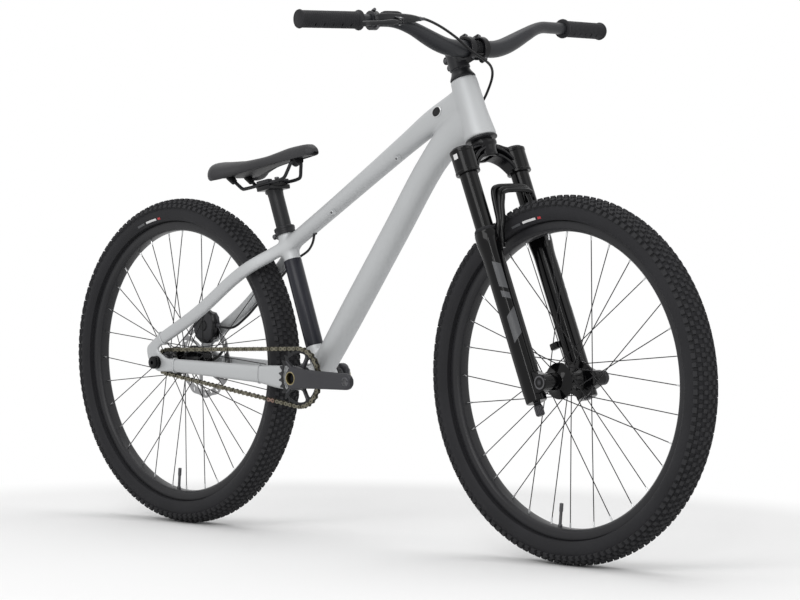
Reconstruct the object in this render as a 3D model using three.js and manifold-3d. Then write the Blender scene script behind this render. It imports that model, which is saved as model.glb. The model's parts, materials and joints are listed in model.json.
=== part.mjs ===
// Dirt jump bike as an assembly: welded frame, sprung fork, two laced wheels,
// single speed drive, one disc brake, bar with stem, and saddle on its post.
// Millimetres, +X forward, +Y left, +Z up; the origin is on the ground, midway
// between the two hubs. The drive side is -Y.
import * as THREE from 'three';
import { mergeVertices } from 'three/addons/utils/BufferGeometryUtils.js';
import Module from 'manifold-3d';

const wasm = await Module();
wasm.setup();

// Driving dimensions of the whole bike
const tyreRadius = 333;
const rearTyreRoom = 71.1;
const frontTyreRoom = 336.9;
const bracketDrop = 18;
const headAngle = 68;
const seatAngle = 69.8;
const forkOffset = 37;
const fit = 0.3;
const overrun = 4;
const wheelBase = tyreRadius * 2 + rearTyreRoom + frontTyreRoom;
const bracketBack = (frontTyreRoom - rearTyreRoom) / 2;
const bracketHeight = tyreRadius - bracketDrop;

// Levels on the steering axis, measured from the top of the front tyre
const overTyre = {
  archFoot: -71, archKnee: -23, archHip: 29, archTop: 35, lowersTop: -33,
  sleeveBottom: 81, sleeveTop: 128, armLow: 105, armHigh: 124, crownHubBottom: 113, crownTop: 143,
  headBottom: 153, taperStart: 167, taperEnd: 227, headTop: 273,
};
const overHead = { stemMiddle: 39, steererTop: 58 };
const level = Object.fromEntries(Object.entries(overTyre).map(([name, rise]) => [name, tyreRadius + rise]));
level.stemMiddle = level.headTop + overHead.stemMiddle;
level.steererTop = level.headTop + overHead.steererTop;
const headTube = {
  topRadius: 25.2, waistRadius: 25.8, bottomRadius: 30.4, waistRise: 52, lipTall: 7,
  bore: 20.8, cupDepth: 12,
};
const cups = { upperRadius: 21.8, lowerRadius: 27, lip: 1.6 };
const steerer = { radius: 14.3, taperRadius: 19.4 };

// Frame tubes in the side view
// Their front ends are measured back and down from the head tube's top, and
// the rear end of the top tube from the seat tube's
const topTube = {
  rearBack: 1.2, rearBelow: 38.9, rearRadius: 16.2, middleShare: 0.588, middleRadius: 18.2,
  frontBack: 101.3, frontBelow: 41, frontRadius: 20, neckBack: 28, neckStep: 6, neckBelow: 36, neckWide: 21.5, neckTall: 29,
};
const downTube = {
  rearWide: 24.5, rearTall: 20, middle: 26, rootShare: 0.33, bendBack: 119.7, bendBelow: 102.6,
  shoulderBack: 64.3, shoulderBelow: 83, shoulderTall: 32, neckBelow: 74, neckTall: 36, neckWide: 24.6,
};
const seatTube = { radius: 17.2, ahead: 12.7, top: 310, boreDepth: 239 };
const shell = { radius: 22, halfWidth: 36.5, bore: 17.6 };
const chainstay = {
  rootAhead: 14, rootOut: 31, rootWide: 6, rootTall: 21,
  plateBack: 66, plateOut: 40.6, plateWide: 5.2, plateTall: 22.6,
  seamBack: 122, seamOut: 46, seamWide: 8, seamTall: 17.8,
  tailAhead: 32.1, tailDrop: 4.5, tailOut: 68.6, tailWide: 8, tailTall: 13.6, seamRise: 3,
};
const seatstay = {
  tailAhead: 15.1, tailRise: 51, tailOut: 68.6, tailWide: 8, tailTall: 12.6,
  middleShare: 0.505, middleSag: 7.1, middleOut: 60, wide: 9, tall: 13.2,
  elbowBack: 128, elbowBelow: 62.1, elbowOut: 50,
  turnBack: 78.8, turnBelow: 53, turnOut: 43.8,
  inBack: 28.9, inBelow: 44.7, inOut: 23.5, topBack: 4.1, topBelow: 41, topOut: 13,
};
const dropout = {
  inner: 67.8, thickness: 8.4, axleBore: 6.5,
  noseAhead: 35, noseLow: 18.5, noseHigh: 9, notchRise: 22, seamAhead: 22, seamRise: 41,
  hoodAhead: 10, hoodRise: 63.5, heelBack: 36, heelRise: 31, toeBack: 33, toeRise: 10, soleBack: 18, soleDrop: 12,
  footDrop: 20,
};
const collar = { radius: 21, height: 16, slotWide: 3, lugOut: 31, lugHalf: 8, lugTall: 11 };

// Wheels
const tyre = { tall: 46.8, beadDepth: 3.8, halfWidth: 30.5, wallIn: 1.4, widestIn: 28, shoulderIn: 12.5, crownHalf: 12, steps: 32 };
const rim = { tall: 19.2, bedDepth: 6.2, sideTall: 13.2, halfWidth: 16.5, innerHalfWidth: 10, wall: 2.6 };
const spoke = { count: 32, radius: 0.95, headOut: 1.45, holeIn: 4, crossings: 3, rimOut: 3, sides: 3 };
const frontHub = { flangeRadius: 33, flangeOut: 27, flangeThick: 4.9, halfWidth: 54.6, barrel: 14, waist: 19, bore: 7.9 };
const rearHub = { flangeRadius: 30, flangeOut: 23.5, flangeThick: 4.9, rightEnd: 43.5, leftEnd: 50.8, barrel: 18, bore: 6.4 };
const rearAxle = { radius: 6, headRadius: 11.5, headLength: 12, socketRadius: 4, socketDepth: 7, spacerRadius: 9.5 };
const rotor = {
  out: 52, thickness: 1.8, radius: 80, ringInner: 63, hubRadius: 27, bore: 10, arms: 6, armWide: 8,
  waves: 12, waveDepth: 4, sweepShare: 0.35, slots: 10, slotLong: 9, slotWide: 3, slotLean: 40,
};

// Drive
const chainPitch = 12.7;
const drive = {
  out: 49.5, ringTeeth: 28, cogTeeth: 12, toothHalf: 1, rollerRadius: 3.5, plateTall: 4.2, plateInner: 2.3, plateThick: 1.5,
  valleyShare: 1.04, floorShare: 0.7, flankShare: 1.25, toothRise: 3.2, flatShare: 0.05,
};
const ring = { windows: 8, windowInner: 25, windowOuter: 46, windowShare: 0.62, bore: 15.6 };
const cog = { bore: 6.6, driverRadius: 15, driverLength: 10 };
const crank = {
  length: 165, rootRadius: 22, endRadius: 14.5, waistShare: 0.42, waistHalf: 16.5,
  rootIn: 53.5, rootOut: 75, endIn: 72, endOut: 84, pedalHole: 6.9,
};
const spindle = { radius: 12, boreRadius: 9.4, boreDepth: 22, reach: 76 };
const bearing = { radius: 21.5, reach: 46.8 };

// Fork
const fork = {
  legOut: 67, legAhead: 6, sleeveRadius: 23, capRadius: 18.5, capTall: 5.5, stanchionRadius: 17, stanchionFoot: 120,
  crownHubRadius: 23, crownRaceRadius: 26, raceTall: 4, armWide: 16, armTall: 17, armAhead: 2, kneeLift: 4, hubLift: 2,
};
const lowers = {
  foot: 27, footTaper: 4, topRadius: 22.5, radius: 20, collarTall: 22, footRadius: 19.5, boreFloor: 14,
  lugRadius: 15, lugIn: 12, lugPast: 13, tabIn: 15, tabRise: 84, tabBack: 26, tabHalf: 7, tabThick: 5,
};
const arch = {
  footAhead: 20, footOut: 58, kneeAhead: 36, kneeOut: 52, hipAhead: 41, hipOut: 42, topAhead: 42, topOut: 25.2, deep: 8.5, tall: 8,
};
const frontAxle = { radius: 7.5, headRadius: 13.5, headLength: 11 };
const knob = { radius: 7.5, length: 25, sides: 8 };
const wiper = { radius: 20.6, tall: 7 };

// Cockpit
const bar = {
  clampRadius: 15.9, gripRadius: 11.1, halfWidth: 395, clampHalf: 34, bendEnd: 150, rise: 44.3, bendAhead: 13.5,
  endSweep: 35.6, endRise: 13.3, taperStart: 55, taperEnd: 165, evenStart: 195,
};
const stem = {
  reach: 45, clampRise: 2.2, halfTall: 20, clampRadius: 19.6, faceHalf: 23.5, faceRadius: 20.5, armTall: 15, armHalf: 17,
  splitAhead: 1, pinchBack: 27, pinchHalf: 13, slotHalf: 1.2, windowHalf: 9.5, windowTall: 11,
};
const headset = { coverRadius: 24.4, coverTop: 18.4, coverTall: 15, spacerRadius: 17.4, capRadius: 17, capTall: 4 };
const grip = { length: 132, radius: 15.6, flangeRadius: 18.6, flangeThick: 5, endThick: 4, endRadius: 17, tipRadius: 16.2 };
// The lever's places along the bar are measured from the middle of its clamp
const lever = {
  gripGap: 18, clampHalf: 7, clampRadius: 17.5, bodyReach: 86, bodyHalf: 8.5, bodyAhead: 22, bodyDrop: 5,
  pivotIn: 34, pivotAhead: 34, pivotDrop: 17, pinRadius: 2.6, earRadius: 6.5, earThick: 3, earRootShare: 1.3,
  tipOut: 54, tipAhead: 42, tipDrop: 27, bladeTall: 6.5, bladeThick: 6, bladeBow: 2.6,
};
const hose = { radius: 2.5, caliperOut: 46, caliperRise: 6.5, caliperLead: 20 };

// Where the hose goes into the top tube, from the head tube's top and the seat tube's top
const port = {
  radius: 3.6, depthShare: 0.2, frontBack: 60.6, frontBelow: 41.3, frontOut: 24.6, innerBack: 69, innerBelow: 40.7, innerOut: 18.6,
  rearAhead: 80.4, rearBelow: 38.6, rearOut: 0.6, mouthAhead: 73.9, mouthBelow: 44.7, mouthOut: 2.2,
};

// Seat
const post = {
  radius: 15.45, foot: 150, railRise: 403, neckTall: 30, cradleTall: 15, cradleHalf: 28, cradleLong: 20, clampLong: 18, clampTall: 8,
};
const saddle = {
  centreAhead: 1, length: 270, tilt: 9.5, halfWidth: 67, height: 66, baseShare: 0.41, ceilingShare: 0.3, baseThick: 6.1,
};
const rails = {
  radius: 3.5, out: 22, back: 62, front: 56, easing: 6, tailReach: 34, tailSpread: 1, tailRise: 27.5, noseReach: 22, noseIn: 15, noseRise: 31.5,
};
const caliper = {
  lean: 80, radius: 72, halfLong: 30, halfTall: 30, inner: 37, outer: 59.2, slotClear: 1, padGap: 0.6, padThick: 3, pocketShare: 1.03,
};

// Finishes
const finish = (color, roughness, metalness) => () => new THREE.MeshStandardMaterial({ color, roughness, metalness });
const satinSilver = finish(0xbfc3c4, 0.42, 0.35);
const satinBlack = finish(0x25262a, 0.5, 0.2);
const glossBlack = finish(0x0b0b0d, 0.16, 0.3);
const charcoal = finish(0x3a3b3f, 0.55, 0.3);
const rubber = finish(0x1c1d1f, 0.85, 0);
const bareSteel = finish(0xb9bbbd, 0.32, 0.9);
const oliveGold = finish(0x8d8560, 0.4, 0.8);

// Frames of reference
const rad = THREE.MathUtils.degToRad;
const across = new THREE.Vector3(0, 1, 0);
const forwards = new THREE.Vector3(1, 0, 0);
const point = (x, y, z) => new THREE.Vector3(x, y, z);
const frontHubAt = point(wheelBase / 2, 0, tyreRadius);
const rearHubAt = point(-wheelBase / 2, 0, tyreRadius);
const bracketAt = point(-bracketBack, 0, bracketHeight);
const lean = (degrees, at) => new THREE.Matrix4().makeRotationY(-rad(degrees)).setPosition(at);
const headLean = 90 - headAngle;
const steeringFoot = frontHubAt.clone().add(
  point(-forkOffset * Math.cos(rad(headLean)), 0, -forkOffset * Math.sin(rad(headLean))),
);
const steeringFrame = lean(headLean, steeringFoot);
const seatFrame = lean(90 - seatAngle, point(bracketAt.x + seatTube.ahead, 0, bracketHeight));
const fromBracket = (ahead, out, rise) => point(bracketAt.x + ahead, out, bracketHeight + rise);
const alongSteering = (ahead, out, rise) => point(ahead, out, rise).applyMatrix4(steeringFrame);
const alongSeat = (ahead, out, rise) => point(ahead, out, rise).applyMatrix4(seatFrame);
const fromRearHub = (ahead, out, rise) => point(rearHubAt.x + ahead, out, rearHubAt.z + rise);
const fromHeadTop = (back, out, below) => alongSteering(-back, out, level.headTop - below);
const fromSeatTop = (back, out, below) => alongSeat(-back, out, seatTube.top - below);

// Closed geometry: shared vertices, no slivers, faces out
function closed(geometry) {
  const bare = new THREE.BufferGeometry();
  bare.setAttribute('position', geometry.getAttribute('position').clone());
  if (geometry.index) bare.setIndex(geometry.index.clone());
  const merged = mergeVertices(bare, 1e-4);
  const corners = Array.from(merged.index.array);
  const places = merged.getAttribute('position');
  const kept = [];
  let volume = 0;
  const [a, b, c] = [point(0, 0, 0), point(0, 0, 0), point(0, 0, 0)];
  for (let i = 0; i < corners.length; i += 3) {
    const [p, q, r] = corners.slice(i, i + 3);
    if (p === q || q === r || r === p) continue;
    kept.push([p, q, r]);
    a.fromBufferAttribute(places, p);
    b.fromBufferAttribute(places, q);
    c.fromBufferAttribute(places, r);
    volume += a.dot(b.cross(c));
  }
  merged.setIndex(kept.flatMap(([p, q, r]) => (volume < 0 ? [p, r, q] : [p, q, r])));
  return merged;
}

// Booleans
function solid(geometry) {
  const tidy = closed(geometry);
  return new wasm.Manifold(new wasm.Mesh({
    numProp: 3,
    vertProperties: new Float32Array(tidy.getAttribute('position').array),
    triVerts: new Uint32Array(tidy.index.array),
  }));
}

function geometryOf(shape) {
  const mesh = shape.getMesh();
  const geometry = new THREE.BufferGeometry();
  geometry.setAttribute('position', new THREE.BufferAttribute(new Float32Array(mesh.vertProperties), 3));
  geometry.setIndex(Array.from(mesh.triVerts));
  return geometry;
}

const joined = (...parts) => parts.map((part) => (part.getMesh ? part : solid(part))).reduce((all, part) => all.add(part));
const cut = (body, ...tools) => tools
  .map((tool) => (tool.getMesh ? tool : solid(tool)))
  .reduce((left, tool) => left.subtract(tool), body.getMesh ? body : solid(body));

// A skin through rings: each station has its centre, half sizes and squareness
function loft(stations, sides, hint) {
  const places = [];
  const faces = [];
  const last = stations.length - 1;
  stations.forEach((station, index) => {
    const before = stations[Math.max(index - 1, 0)].at;
    const after = stations[Math.min(index + 1, last)].at;
    const along = station.along ?? after.clone().sub(before).normalize();
    const side = hint.clone().addScaledVector(along, -hint.dot(along)).normalize();
    const rise = along.clone().cross(side);
    const bend = 2 / (station.power ?? 2);
    for (let k = 0; k < sides; k += 1) {
      const turn = (2 * Math.PI * (k + 0.5)) / sides;
      const shareAcross = Math.sign(Math.cos(turn)) * Math.abs(Math.cos(turn)) ** bend;
      const shareUp = Math.sign(Math.sin(turn)) * Math.abs(Math.sin(turn)) ** bend;
      const place = station.at.clone()
        .addScaledVector(side, station.wide * shareAcross)
        .addScaledVector(rise, station.tall * shareUp);
      places.push(place.x, place.y, place.z);
    }
  });
  for (let ringIndex = 0; ringIndex < last; ringIndex += 1) {
    for (let k = 0; k < sides; k += 1) {
      const next = (k + 1) % sides;
      const [a, b] = [ringIndex * sides + k, ringIndex * sides + next];
      const [c, d] = [a + sides, b + sides];
      faces.push(a, b, d, a, d, c);
    }
  }
  const lastRing = last * sides;
  for (let k = 1; k < sides - 1; k += 1) {
    faces.push(0, k + 1, k, lastRing, lastRing + k, lastRing + k + 1);
  }
  const geometry = new THREE.BufferGeometry();
  geometry.setAttribute('position', new THREE.Float32BufferAttribute(places, 3));
  geometry.setIndex(faces);
  return geometry;
}

// The same skin made larger all round and at both ends
function grown(stations, by) {
  const wider = stations.map((station) => ({
    ...station, at: station.at.clone(), wide: station.wide + by, tall: station.tall + by,
  }));
  for (const [end, next] of [[0, 1], [stations.length - 1, stations.length - 2]]) {
    const outward = stations[end].at.clone().sub(stations[next].at).normalize();
    wider[end].at.addScaledVector(outward, by);
  }
  return wider;
}

// A profile of [radius, height] turned about Y, or about Z
function turned(profile, steps) {
  const loop = profile.map(([radius, height]) => new THREE.Vector2(radius, height));
  return new THREE.LatheGeometry([...loop, loop[0].clone()], steps);
}
const turnedUp = (profile, steps) => turned(profile, steps).rotateX(Math.PI / 2);
const sleeve = (inner, outer, low, high, steps) => turned([[inner, low], [outer, low], [outer, high], [inner, high]], steps);
const sleeveUp = (inner, outer, low, high, steps) => sleeve(inner, outer, low, high, steps).rotateX(Math.PI / 2);

// A round bar between two points
function rod(from, to, radius, sides, farRadius = radius) {
  const length = from.distanceTo(to);
  const turn = new THREE.Quaternion().setFromUnitVectors(across, to.clone().sub(from).normalize());
  return new THREE.CylinderGeometry(farRadius, radius, length, sides)
    .applyQuaternion(turn)
    .translate((from.x + to.x) / 2, (from.y + to.y) / 2, (from.z + to.z) / 2);
}

// The radius of a bore that a shaft of this radius turns in, flats and all
const clear = (radius, steps) => (radius + fit) / Math.cos(Math.PI / steps);

// A plate cut from an outline in the side view, between two distances across
function plate(outline, low, high, holes = []) {
  const shape = outline instanceof THREE.Shape ? outline : new THREE.Shape(outline.map(([x, z]) => new THREE.Vector2(x, z)));
  holes.forEach((hole) => shape.holes.push(new THREE.Path(hole.map(([x, z]) => new THREE.Vector2(x, z)))));
  return new THREE.ExtrudeGeometry(shape, { depth: high - low, bevelEnabled: false, curveSegments: 8 })
    .rotateX(Math.PI / 2)
    .translate(0, high, 0);
}

const block = (low, high) => new THREE.BoxGeometry(high.x - low.x, high.y - low.y, high.z - low.z)
  .translate((low.x + high.x) / 2, (low.y + high.y) / 2, (low.z + high.z) / 2);

// A round cord or wire along a smooth route
function tube(route, radius, sides, steps) {
  const section = new THREE.Shape(
    Array.from({ length: sides }, (_, k) => new THREE.Vector2(
      radius * Math.cos((2 * Math.PI * k) / sides),
      radius * Math.sin((2 * Math.PI * k) / sides),
    )),
  );
  return new THREE.ExtrudeGeometry(section, {
    steps,
    bevelEnabled: false,
    extrudePath: new THREE.CatmullRomCurve3(route, false, 'centripetal'),
  });
}

const circle = (x, z, radius, sides, phase = 0) => Array.from({ length: sides }, (_, k) => [
  x + radius * Math.cos(phase + (2 * Math.PI * k) / sides),
  z + radius * Math.sin(phase + (2 * Math.PI * k) / sides),
]);

// Groups that hold the pieces
const bike = new THREE.Group();
const steeringGroup = new THREE.Group();
steeringGroup.applyMatrix4(steeringFrame);
const seatGroup = new THREE.Group();
seatGroup.applyMatrix4(seatFrame);
const frontWheel = new THREE.Group();
frontWheel.position.copy(frontHubAt);
const rearWheel = new THREE.Group();
rearWheel.position.copy(rearHubAt);
const crankGroup = new THREE.Group();
crankGroup.position.copy(bracketAt);
bike.add(steeringGroup, seatGroup, frontWheel, rearWheel, crankGroup);

function piece(name, shape, material, group = bike) {
  const geometry = shape.getMesh ? geometryOf(shape) : closed(shape);
  geometry.computeVertexNormals();
  const mesh = new THREE.Mesh(geometry, material());
  mesh.name = name;
  group.add(mesh);
}

const sides = [['right', -1], ['left', 1]];

// Head tube: a tapered casting, bored for the headset
const headSteps = 20;
const headOutline = (grow) => [
  [0, level.headBottom], [headTube.bottomRadius + grow, level.headBottom],
  [headTube.bottomRadius + grow, level.headBottom + headTube.lipTall],
  [headTube.waistRadius + grow, level.headBottom + headTube.waistRise],
  [headTube.topRadius + grow, level.headTop], [0, level.headTop],
];
const headSkin = (grow) => turnedUp(headOutline(grow), headSteps).applyMatrix4(steeringFrame);
const headBore = joined(
  turnedUp([[0, level.headBottom - overrun], [headTube.bore, level.headBottom - overrun],
    [headTube.bore, level.headTop + overrun], [0, level.headTop + overrun]], headSteps),
  turnedUp([[0, level.headBottom - overrun], [cups.lowerRadius + fit, level.headBottom - overrun],
    [cups.lowerRadius + fit, level.headBottom + headTube.cupDepth], [0, level.headBottom + headTube.cupDepth]], headSteps),
  turnedUp([[0, level.headTop - headTube.cupDepth], [cups.upperRadius + fit, level.headTop - headTube.cupDepth],
    [cups.upperRadius + fit, level.headTop + overrun], [0, level.headTop + overrun]], headSteps),
).transform(steeringFrame.elements);
piece('head_tube', cut(headSkin(0), headBore), satinSilver);

// Headset bearing cups, each a ring let into one end of the head tube
const cupBore = clear(steerer.taperRadius, headSteps);
const lowerCup = turnedUp([
  [cupBore, level.headBottom + headTube.cupDepth - fit],
  [cups.lowerRadius, level.headBottom + headTube.cupDepth - fit],
  [cups.lowerRadius, level.headBottom - fit], [headTube.bottomRadius, level.headBottom - fit],
  [headTube.bottomRadius, level.headBottom - fit - cups.lip * 2],
  [cupBore, level.headBottom - fit - cups.lip * 2],
], headSteps);
piece('headset_lower_cup', lowerCup, satinBlack, steeringGroup);
const upperCup = sleeveUp(
  clear(steerer.radius, headSteps), cups.upperRadius,
  level.headTop - headTube.cupDepth + fit, level.headTop, headSteps,
);
piece('headset_upper_cup', upperCup, satinBlack, steeringGroup);

// Bottom bracket shell and its outboard bearings
const shellAt = (inner, outer, low, high) => sleeve(inner, outer, low, high, 20).translate(bracketAt.x, 0, bracketHeight);
const shellSkin = (grow) => rod(
  point(bracketAt.x, -shell.halfWidth - grow, bracketHeight),
  point(bracketAt.x, shell.halfWidth + grow, bracketHeight), shell.radius + grow, 20,
);
piece('bottom_bracket_shell', shellAt(shell.bore, shell.radius, -shell.halfWidth, shell.halfWidth), satinSilver);
const bearingRoom = rod(
  point(bracketAt.x, -bearing.reach - overrun, bracketHeight),
  point(bracketAt.x, bearing.reach + overrun, bracketHeight), clear(bearing.radius, 20), 20,
);
for (const [side, sign] of sides) {
  const [near, far] = [sign * (shell.halfWidth + fit), sign * bearing.reach];
  const ends = [Math.min(near, far), Math.max(near, far)];
  piece(`bottom_bracket_bearing_${side}`, shellAt(clear(spindle.radius, 20), bearing.radius, ...ends), satinBlack);
}

// Seat tube with the post's bore, and the silver collar above the top tube
const seatStations = (grow) => [
  { at: alongSeat(0, 0, 0), wide: seatTube.radius + grow, tall: seatTube.radius + grow },
  { at: alongSeat(0, 0, seatTube.top), wide: seatTube.radius + grow, tall: seatTube.radius + grow },
];
const seatSkin = (grow) => solid(loft(seatStations(grow), 20, across));
const seatBore = rod(
  alongSeat(0, 0, seatTube.top - seatTube.boreDepth), alongSeat(0, 0, seatTube.top + overrun), clear(post.radius, 20), 20,
);
piece('seat_tube', cut(seatSkin(0), shellSkin(fit), seatBore), satinSilver);

// Top tube: an oval that swells into the head tube, with the hose port's recess
const topRear = fromSeatTop(topTube.rearBack, 0, topTube.rearBelow);
const topFront = fromHeadTop(topTube.frontBack, 0, topTube.frontBelow);
const topStations = (grow) => grown([
  { at: topRear.clone(), wide: topTube.rearRadius, tall: topTube.rearRadius },
  { at: topRear.clone().lerp(topFront, topTube.middleShare), wide: topTube.middleRadius, tall: topTube.middleRadius },
  { at: topFront.clone(), wide: topTube.frontRadius, tall: topTube.frontRadius },
  { at: fromHeadTop(topTube.neckBack, 0, topTube.neckBelow + topTube.neckStep), wide: topTube.neckWide, tall: topTube.neckTall },
  { at: fromHeadTop(0, 0, topTube.neckBelow), wide: topTube.neckWide, tall: topTube.neckTall },
], grow);
const topSkin = (grow) => solid(loft(topStations(grow), 16, across));

// Down tube: it bends level before it meets the head tube
const downBend = fromHeadTop(downTube.bendBack, 0, downTube.bendBelow);
const downShoulder = fromHeadTop(downTube.shoulderBack, 0, downTube.shoulderBelow);
const downStations = (grow) => grown([
  { at: bracketAt.clone(), wide: downTube.rearWide, tall: downTube.rearTall },
  { at: bracketAt.clone().lerp(downBend, downTube.rootShare), wide: downTube.middle, tall: downTube.middle },
  { at: downBend.clone(), wide: downTube.middle, tall: downTube.middle },
  { at: downShoulder.clone(), wide: downTube.middle, tall: downTube.shoulderTall },
  { at: fromHeadTop(0, 0, downTube.neckBelow), wide: downTube.neckWide, tall: downTube.neckTall },
], grow);
const downSkin = (grow) => solid(loft(downStations(grow), 14, across));
const frontPort = [
  fromHeadTop(port.frontBack, port.frontOut, port.frontBelow), fromHeadTop(port.innerBack, port.innerOut, port.innerBelow),
];
const rearPort = [
  alongSeat(port.rearAhead, port.rearOut, seatTube.top - port.rearBelow),
  alongSeat(port.mouthAhead, port.mouthOut, seatTube.top - port.mouthBelow),
];
const portBore = ([from, to]) => rod(
  from.clone().lerp(to, -1), to.clone().lerp(from, -port.depthShare), port.radius, 8,
);
piece('top_tube', cut(
  topSkin(0), headSkin(fit), seatSkin(fit), portBore(frontPort), portBore(rearPort.slice().reverse()),
), satinSilver);
piece('down_tube', cut(downSkin(0), headSkin(fit), topSkin(fit), shellSkin(fit), seatSkin(fit)), satinSilver);

// Chainstays and seatstays, one loft per side
const chainstayStations = (sign) => [
  { at: fromBracket(-chainstay.rootAhead, sign * chainstay.rootOut, 0), wide: chainstay.rootWide, tall: chainstay.rootTall, power: 3 },
  { at: fromBracket(-chainstay.plateBack, sign * chainstay.plateOut, 0), wide: chainstay.plateWide, tall: chainstay.plateTall, power: 4 },
  { at: fromBracket(-chainstay.seamBack, sign * chainstay.seamOut, chainstay.seamRise), wide: chainstay.seamWide, tall: chainstay.seamTall, power: 3 },
  { at: fromRearHub(chainstay.tailAhead, sign * chainstay.tailOut, -chainstay.tailDrop), wide: chainstay.tailWide, tall: chainstay.tailTall, power: 3 },
];
const seatstayStations = (sign) => {
  const tail = fromRearHub(seatstay.tailAhead, sign * seatstay.tailOut, seatstay.tailRise);
  const elbow = fromSeatTop(seatstay.elbowBack, sign * seatstay.elbowOut, seatstay.elbowBelow);
  const middle = tail.clone().lerp(elbow, seatstay.middleShare).setY(sign * seatstay.middleOut);
  middle.z -= seatstay.middleSag;
  const upper = [
    middle, elbow,
    fromSeatTop(seatstay.turnBack, sign * seatstay.turnOut, seatstay.turnBelow),
    fromSeatTop(seatstay.inBack, sign * seatstay.inOut, seatstay.inBelow),
    fromSeatTop(seatstay.topBack, sign * seatstay.topOut, seatstay.topBelow),
  ];
  return [
    { at: tail, wide: seatstay.tailWide, tall: seatstay.tailTall, power: 3 },
    ...upper.map((at) => ({ at, wide: seatstay.wide, tall: seatstay.tall, power: 3 })),
  ];
};
const staySkin = (stations, grow) => solid(loft(grown(stations, grow), 10, across));
const midWall = (sign) => block(
  point(-wheelBase, Math.min(-sign * shell.halfWidth * 2, (sign * fit) / 2), 0),
  point(wheelBase, Math.max(-sign * shell.halfWidth * 2, (sign * fit) / 2), wheelBase),
);

// Rear dropouts: hooded plates that take both stays and the axle
const dropoutOutline = [
  [dropout.noseAhead, -dropout.noseLow], [dropout.noseAhead, dropout.noseHigh], [0, dropout.notchRise],
  [dropout.seamAhead, dropout.seamRise], [dropout.hoodAhead, dropout.hoodRise], [-dropout.heelBack, dropout.heelRise],
  [-dropout.toeBack, dropout.toeRise], [-dropout.soleBack, -dropout.soleDrop], [0, -dropout.footDrop],
].map(([ahead, rise]) => [rearHubAt.x + ahead, rearHubAt.z + rise]);
for (const [side, sign] of sides) {
  const stay = staySkin(chainstayStations(sign), 0);
  piece(`chainstay_${side}`, cut(stay, shellSkin(fit), bearingRoom, downSkin(fit), seatSkin(fit)), satinSilver);
  const upper = staySkin(seatstayStations(sign), 0);
  piece(`seatstay_${side}`, cut(upper, seatSkin(fit), topSkin(fit), midWall(sign)), satinSilver);
  const faces = [sign * dropout.inner, sign * (dropout.inner + dropout.thickness)].sort((a, b) => a - b);
  const hooded = plate(dropoutOutline, ...faces, [circle(rearHubAt.x, rearHubAt.z, dropout.axleBore, 16)]);
  piece(`dropout_${side}`, cut(hooded, staySkin(chainstayStations(sign), fit), staySkin(seatstayStations(sign), fit)), satinSilver);
}

// Seat collar with its bolt lug at the back
const collarLow = seatTube.top - collar.height + fit;
const collarBody = cut(
  joined(
    sleeveUp(clear(seatTube.radius, 18), collar.radius, collarLow, seatTube.top + fit, 18),
    block(point(-collar.lugOut, -collar.lugHalf, collarLow), point(-seatTube.radius - fit * 2, collar.lugHalf, collarLow + collar.lugTall)),
  ),
  block(point(-collar.lugOut - overrun, -collar.slotWide / 2, collarLow - overrun), point(-post.radius, collar.slotWide / 2, seatTube.top + overrun)),
);
piece('seat_collar', collarBody, satinBlack, seatGroup);

// Tyres and rims, turned about each axle
const rimOuter = tyreRadius - tyre.tall;
const rimInner = rimOuter - rim.tall;
const mirrorProfile = (half) => [...half, ...half.slice().reverse().map(([radius, y]) => [radius, -y])];
const tyreProfile = mirrorProfile([
  [rimOuter - tyre.beadDepth, rim.halfWidth - rim.wall - fit], [rimOuter + fit, rim.halfWidth - rim.wall - fit],
  [tyreRadius - tyre.widestIn, tyre.halfWidth - tyre.wallIn], [tyreRadius - tyre.shoulderIn, tyre.halfWidth],
  [tyreRadius, tyre.crownHalf],
]);
const rimProfile = mirrorProfile([
  [rimInner, rim.innerHalfWidth], [rimOuter - rim.sideTall, rim.halfWidth], [rimOuter, rim.halfWidth],
  [rimOuter, rim.halfWidth - rim.wall], [rimOuter - rim.bedDepth, rim.halfWidth - rim.wall],
]);

// Tangent spokes: each leaves its flange at a hole and crosses three others
const rimReach = rimInner - fit - spoke.radius / 2;
function spokeSet(hub) {
  const rods = [];
  const perFlange = spoke.count / 2;
  const step = (2 * Math.PI) / perFlange;
  for (const [, sign] of sides) {
    for (let k = 0; k < perFlange; k += 1) {
      const lead = k % 2 === 0 ? 1 : -1;
      const hole = k * step + (sign > 0 ? step / 2 : 0);
      const seat = hole + lead * spoke.crossings * step;
      const start = point(
        (hub.flangeRadius - spoke.holeIn) * Math.cos(hole), sign * (hub.flangeOut + lead * spoke.headOut),
        (hub.flangeRadius - spoke.holeIn) * Math.sin(hole),
      );
      const end = point(rimReach * Math.cos(seat), sign * spoke.rimOut, rimReach * Math.sin(seat));
      rods.push(solid(rod(start, end, spoke.radius, spoke.sides)));
    }
  }
  return rods;
}
const flanged = (hub, low, high) => turned([
  [hub.bore, low], [hub.barrel, low], [hub.barrel, -hub.flangeOut - hub.flangeThick],
  [hub.flangeRadius, -hub.flangeOut - hub.flangeThick / 2], [hub.flangeRadius, -hub.flangeOut + hub.flangeThick / 2],
  [hub.waist, -hub.flangeOut + hub.flangeThick], [hub.waist, hub.flangeOut - hub.flangeThick],
  [hub.flangeRadius, hub.flangeOut - hub.flangeThick / 2], [hub.flangeRadius, hub.flangeOut + hub.flangeThick / 2],
  [hub.barrel, hub.flangeOut + hub.flangeThick], [hub.barrel, high], [hub.bore, high],
], 14);
const lacedHub = (hub, low, high) => joined(flanged(hub, low, high), ...spokeSet(hub));
piece('front_hub_spokes', lacedHub(frontHub, -frontHub.halfWidth, frontHub.halfWidth), satinBlack, frontWheel);
piece('rear_hub_spokes', lacedHub(rearHub, -rearHub.rightEnd, rearHub.leftEnd), satinBlack, rearWheel);
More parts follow.
